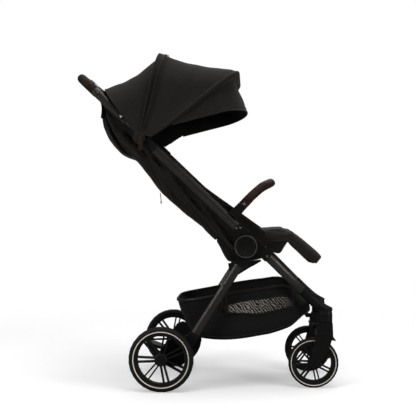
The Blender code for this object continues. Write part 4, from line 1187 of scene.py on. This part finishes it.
class STROLLER_OT_stage(bpy.types.Operator):
    """Set the floor, the backdrop, the lamps and the camera"""

    bl_idname = "stroller.stage"
    bl_label = "Stage"

    def execute(self, context):
        scene = context.scene
        scene.view_settings.view_transform = "Standard"
        self.floor()
        self.world(scene)
        lamps = (
            ("overhead_softbox", (0.1, -0.3, 3.2), (0.0, 0.0, 0.5), 2.0, 39.0),
            ("front_softbox", (2.5, -2.3, 1.5), (0.0, 0.0, 0.6), 1.2, 46.0),
            ("rear_softbox", (-2.5, -2.2, 1.3), (0.0, 0.0, 0.6), 1.0, 40.0),
            ("far_softbox", (0.4, 2.8, 2.2), (0.0, 0.0, 0.7), 1.6, 16.0),
        )
        for name, place, target, size, power in lamps:
            light = bpy.data.lights.new(name, "AREA")
            light.energy, light.size = power, size
            lamp = bpy.data.objects.new(name, light)
            lamp.location = place
            lamp.rotation_euler = (Vector(target) - Vector(place)).to_track_quat("-Z", "Y").to_euler()
            scene.collection.objects.link(lamp)
        view = Vector((math.sin(CAMERA_YAW), math.cos(CAMERA_YAW), math.tan(CAMERA_PITCH)))
        camera = bpy.data.objects.new("camera", bpy.data.cameras.new("camera"))
        camera.data.sensor_fit = "HORIZONTAL"
        camera.data.sensor_width = SENSOR_MM
        camera.data.lens = FOCAL_PIXELS / PICTURE_PIXELS * SENSOR_MM
        camera.location = CAMERA_PLACE
        camera.rotation_euler = view.to_track_quat("-Z", "Y").to_euler()
        scene.collection.objects.link(camera)
        scene.camera = camera
        return {"FINISHED"}

    def floor(self):
        """A pale floor that looks white to the camera where no shadow falls."""
        mesh = bmesh.new()
        bmesh.ops.create_grid(mesh, x_segments=8, y_segments=8, size=30.0)
        data = bpy.data.meshes.new("studio_floor")
        mesh.to_mesh(data)
        mesh.free()
        floor = bpy.data.objects.new("studio_floor", data)
        bpy.context.scene.collection.objects.link(floor)
        s = Shades("pale_floor")
        paper = s.ramp(s.noise(3.0, 2.0), ((0.3, 0.80), (0.7, 0.82)))
        s.finish(paper, 0.9, s.bump(s.noise(180.0), 0.05, 0.0005))
        apart = s.node("ShaderNodeVectorMath", operation="LENGTH")
        s.link(s.place, apart.inputs[0])
        fade = s.node("ShaderNodeMapRange", interpolation_type="SMOOTHSTEP")
        s.link(apart.outputs["Value"], fade.inputs["Value"])
        fade.inputs["From Min"].default_value, fade.inputs["From Max"].default_value = 0.75, 2.3
        white = s.node("ShaderNodeEmission", Color=(1, 1, 1, 1), Strength=1.0)
        glow = s.node("ShaderNodeEmission", Color=(1, 1, 1, 1), Strength=0.30)
        dull = s.node("ShaderNodeBsdfDiffuse", Color=(0.30, 0.295, 0.29, 1))
        seen = s.node("ShaderNodeLightPath").outputs["Is Camera Ray"]

        def joined(kind, *feeds):
            made = s.node(kind)
            for output, target in zip(feeds, made.inputs):
                s.link(output, target)
            return made.outputs[0]

        near = joined("ShaderNodeAddShader", s.shader.outputs[0], glow.outputs[0])
        view = joined("ShaderNodeMixShader", fade.outputs[0], near, white.outputs[0])
        every = joined("ShaderNodeMixShader", seen, dull.outputs[0], view)
        s.link(every, s.tree.nodes["Material Output"].inputs["Surface"])
        data.materials.append(s.material)

    def world(self, scene):
        """White to the camera and through transmission, a gentle fill on the object that is brighter from
        above.
        """
        world = bpy.data.worlds.new("studio_world")
        scene.world = world
        world.use_nodes = True
        tree = world.node_tree
        back = tree.nodes["Background"]
        back.inputs["Color"].default_value = (1, 1, 1, 1)
        rays = tree.nodes.new("ShaderNodeLightPath").outputs
        seen = tree.nodes.new("ShaderNodeMath")
        seen.operation = "MAXIMUM"
        tree.links.new(rays["Is Camera Ray"], seen.inputs[0])
        tree.links.new(rays["Is Transmission Ray"], seen.inputs[1])
        height = tree.nodes.new("ShaderNodeSeparateXYZ")
        tree.links.new(tree.nodes.new("ShaderNodeTexCoord").outputs["Generated"], height.inputs[0])
        dome = tree.nodes.new("ShaderNodeMapRange")
        tree.links.new(height.outputs["Z"], dome.inputs["Value"])
        for key, value in (("From Min", 0.20), ("From Max", 0.95), ("To Min", 0.060), ("To Max", 0.60)):
            dome.inputs[key].default_value = value
        level = tree.nodes.new("ShaderNodeMapRange")
        tree.links.new(seen.outputs[0], level.inputs["Value"])
        tree.links.new(dome.outputs[0], level.inputs["To Min"])
        level.inputs["To Max"].default_value = 1.0
        tree.links.new(level.outputs[0], back.inputs["Strength"])


class STROLLER_PT_panel(bpy.types.Panel):
    """Lists the steps that dress the stroller"""

    bl_idname = "STROLLER_PT_panel"
    bl_label = "Compact Stroller"
    bl_space_type = "VIEW_3D"
    bl_region_type = "UI"
    bl_category = "Stroller"

    def draw(self, context):
        for group in (context.scene.stroller_sizes, context.scene.stroller_colours):
            for key in group.__annotations__:
                self.layout.prop(group, key)
        for operator in OPERATORS:
            self.layout.operator(operator.bl_idname)


OPERATORS = (
    STROLLER_OT_finishes, STROLLER_OT_canopy, STROLLER_OT_seat, STROLLER_OT_basket, STROLLER_OT_trim,
    STROLLER_OT_stage,
)
CLASSES = (StrollerSizes, StrollerColours) + OPERATORS + (STROLLER_PT_panel,)


def register():
    """Add the classes and the scene's settings."""
    for item in CLASSES:
        bpy.utils.register_class(item)
    bpy.types.Scene.stroller_sizes = bpy.props.PointerProperty(type=StrollerSizes)
    bpy.types.Scene.stroller_colours = bpy.props.PointerProperty(type=StrollerColours)


def unregister():
    """Take the classes and settings away again."""
    del bpy.types.Scene.stroller_colours
    del bpy.types.Scene.stroller_sizes
    for item in reversed(CLASSES):
        bpy.utils.unregister_class(item)


def main():
    """Dress the stroller."""
    register()
    for operator in OPERATORS:
        group, name = operator.bl_idname.split(".")
        getattr(getattr(bpy.ops, group), name)()
    bpy.context.view_layer.update()


if __name__ == "__main__":
    main()
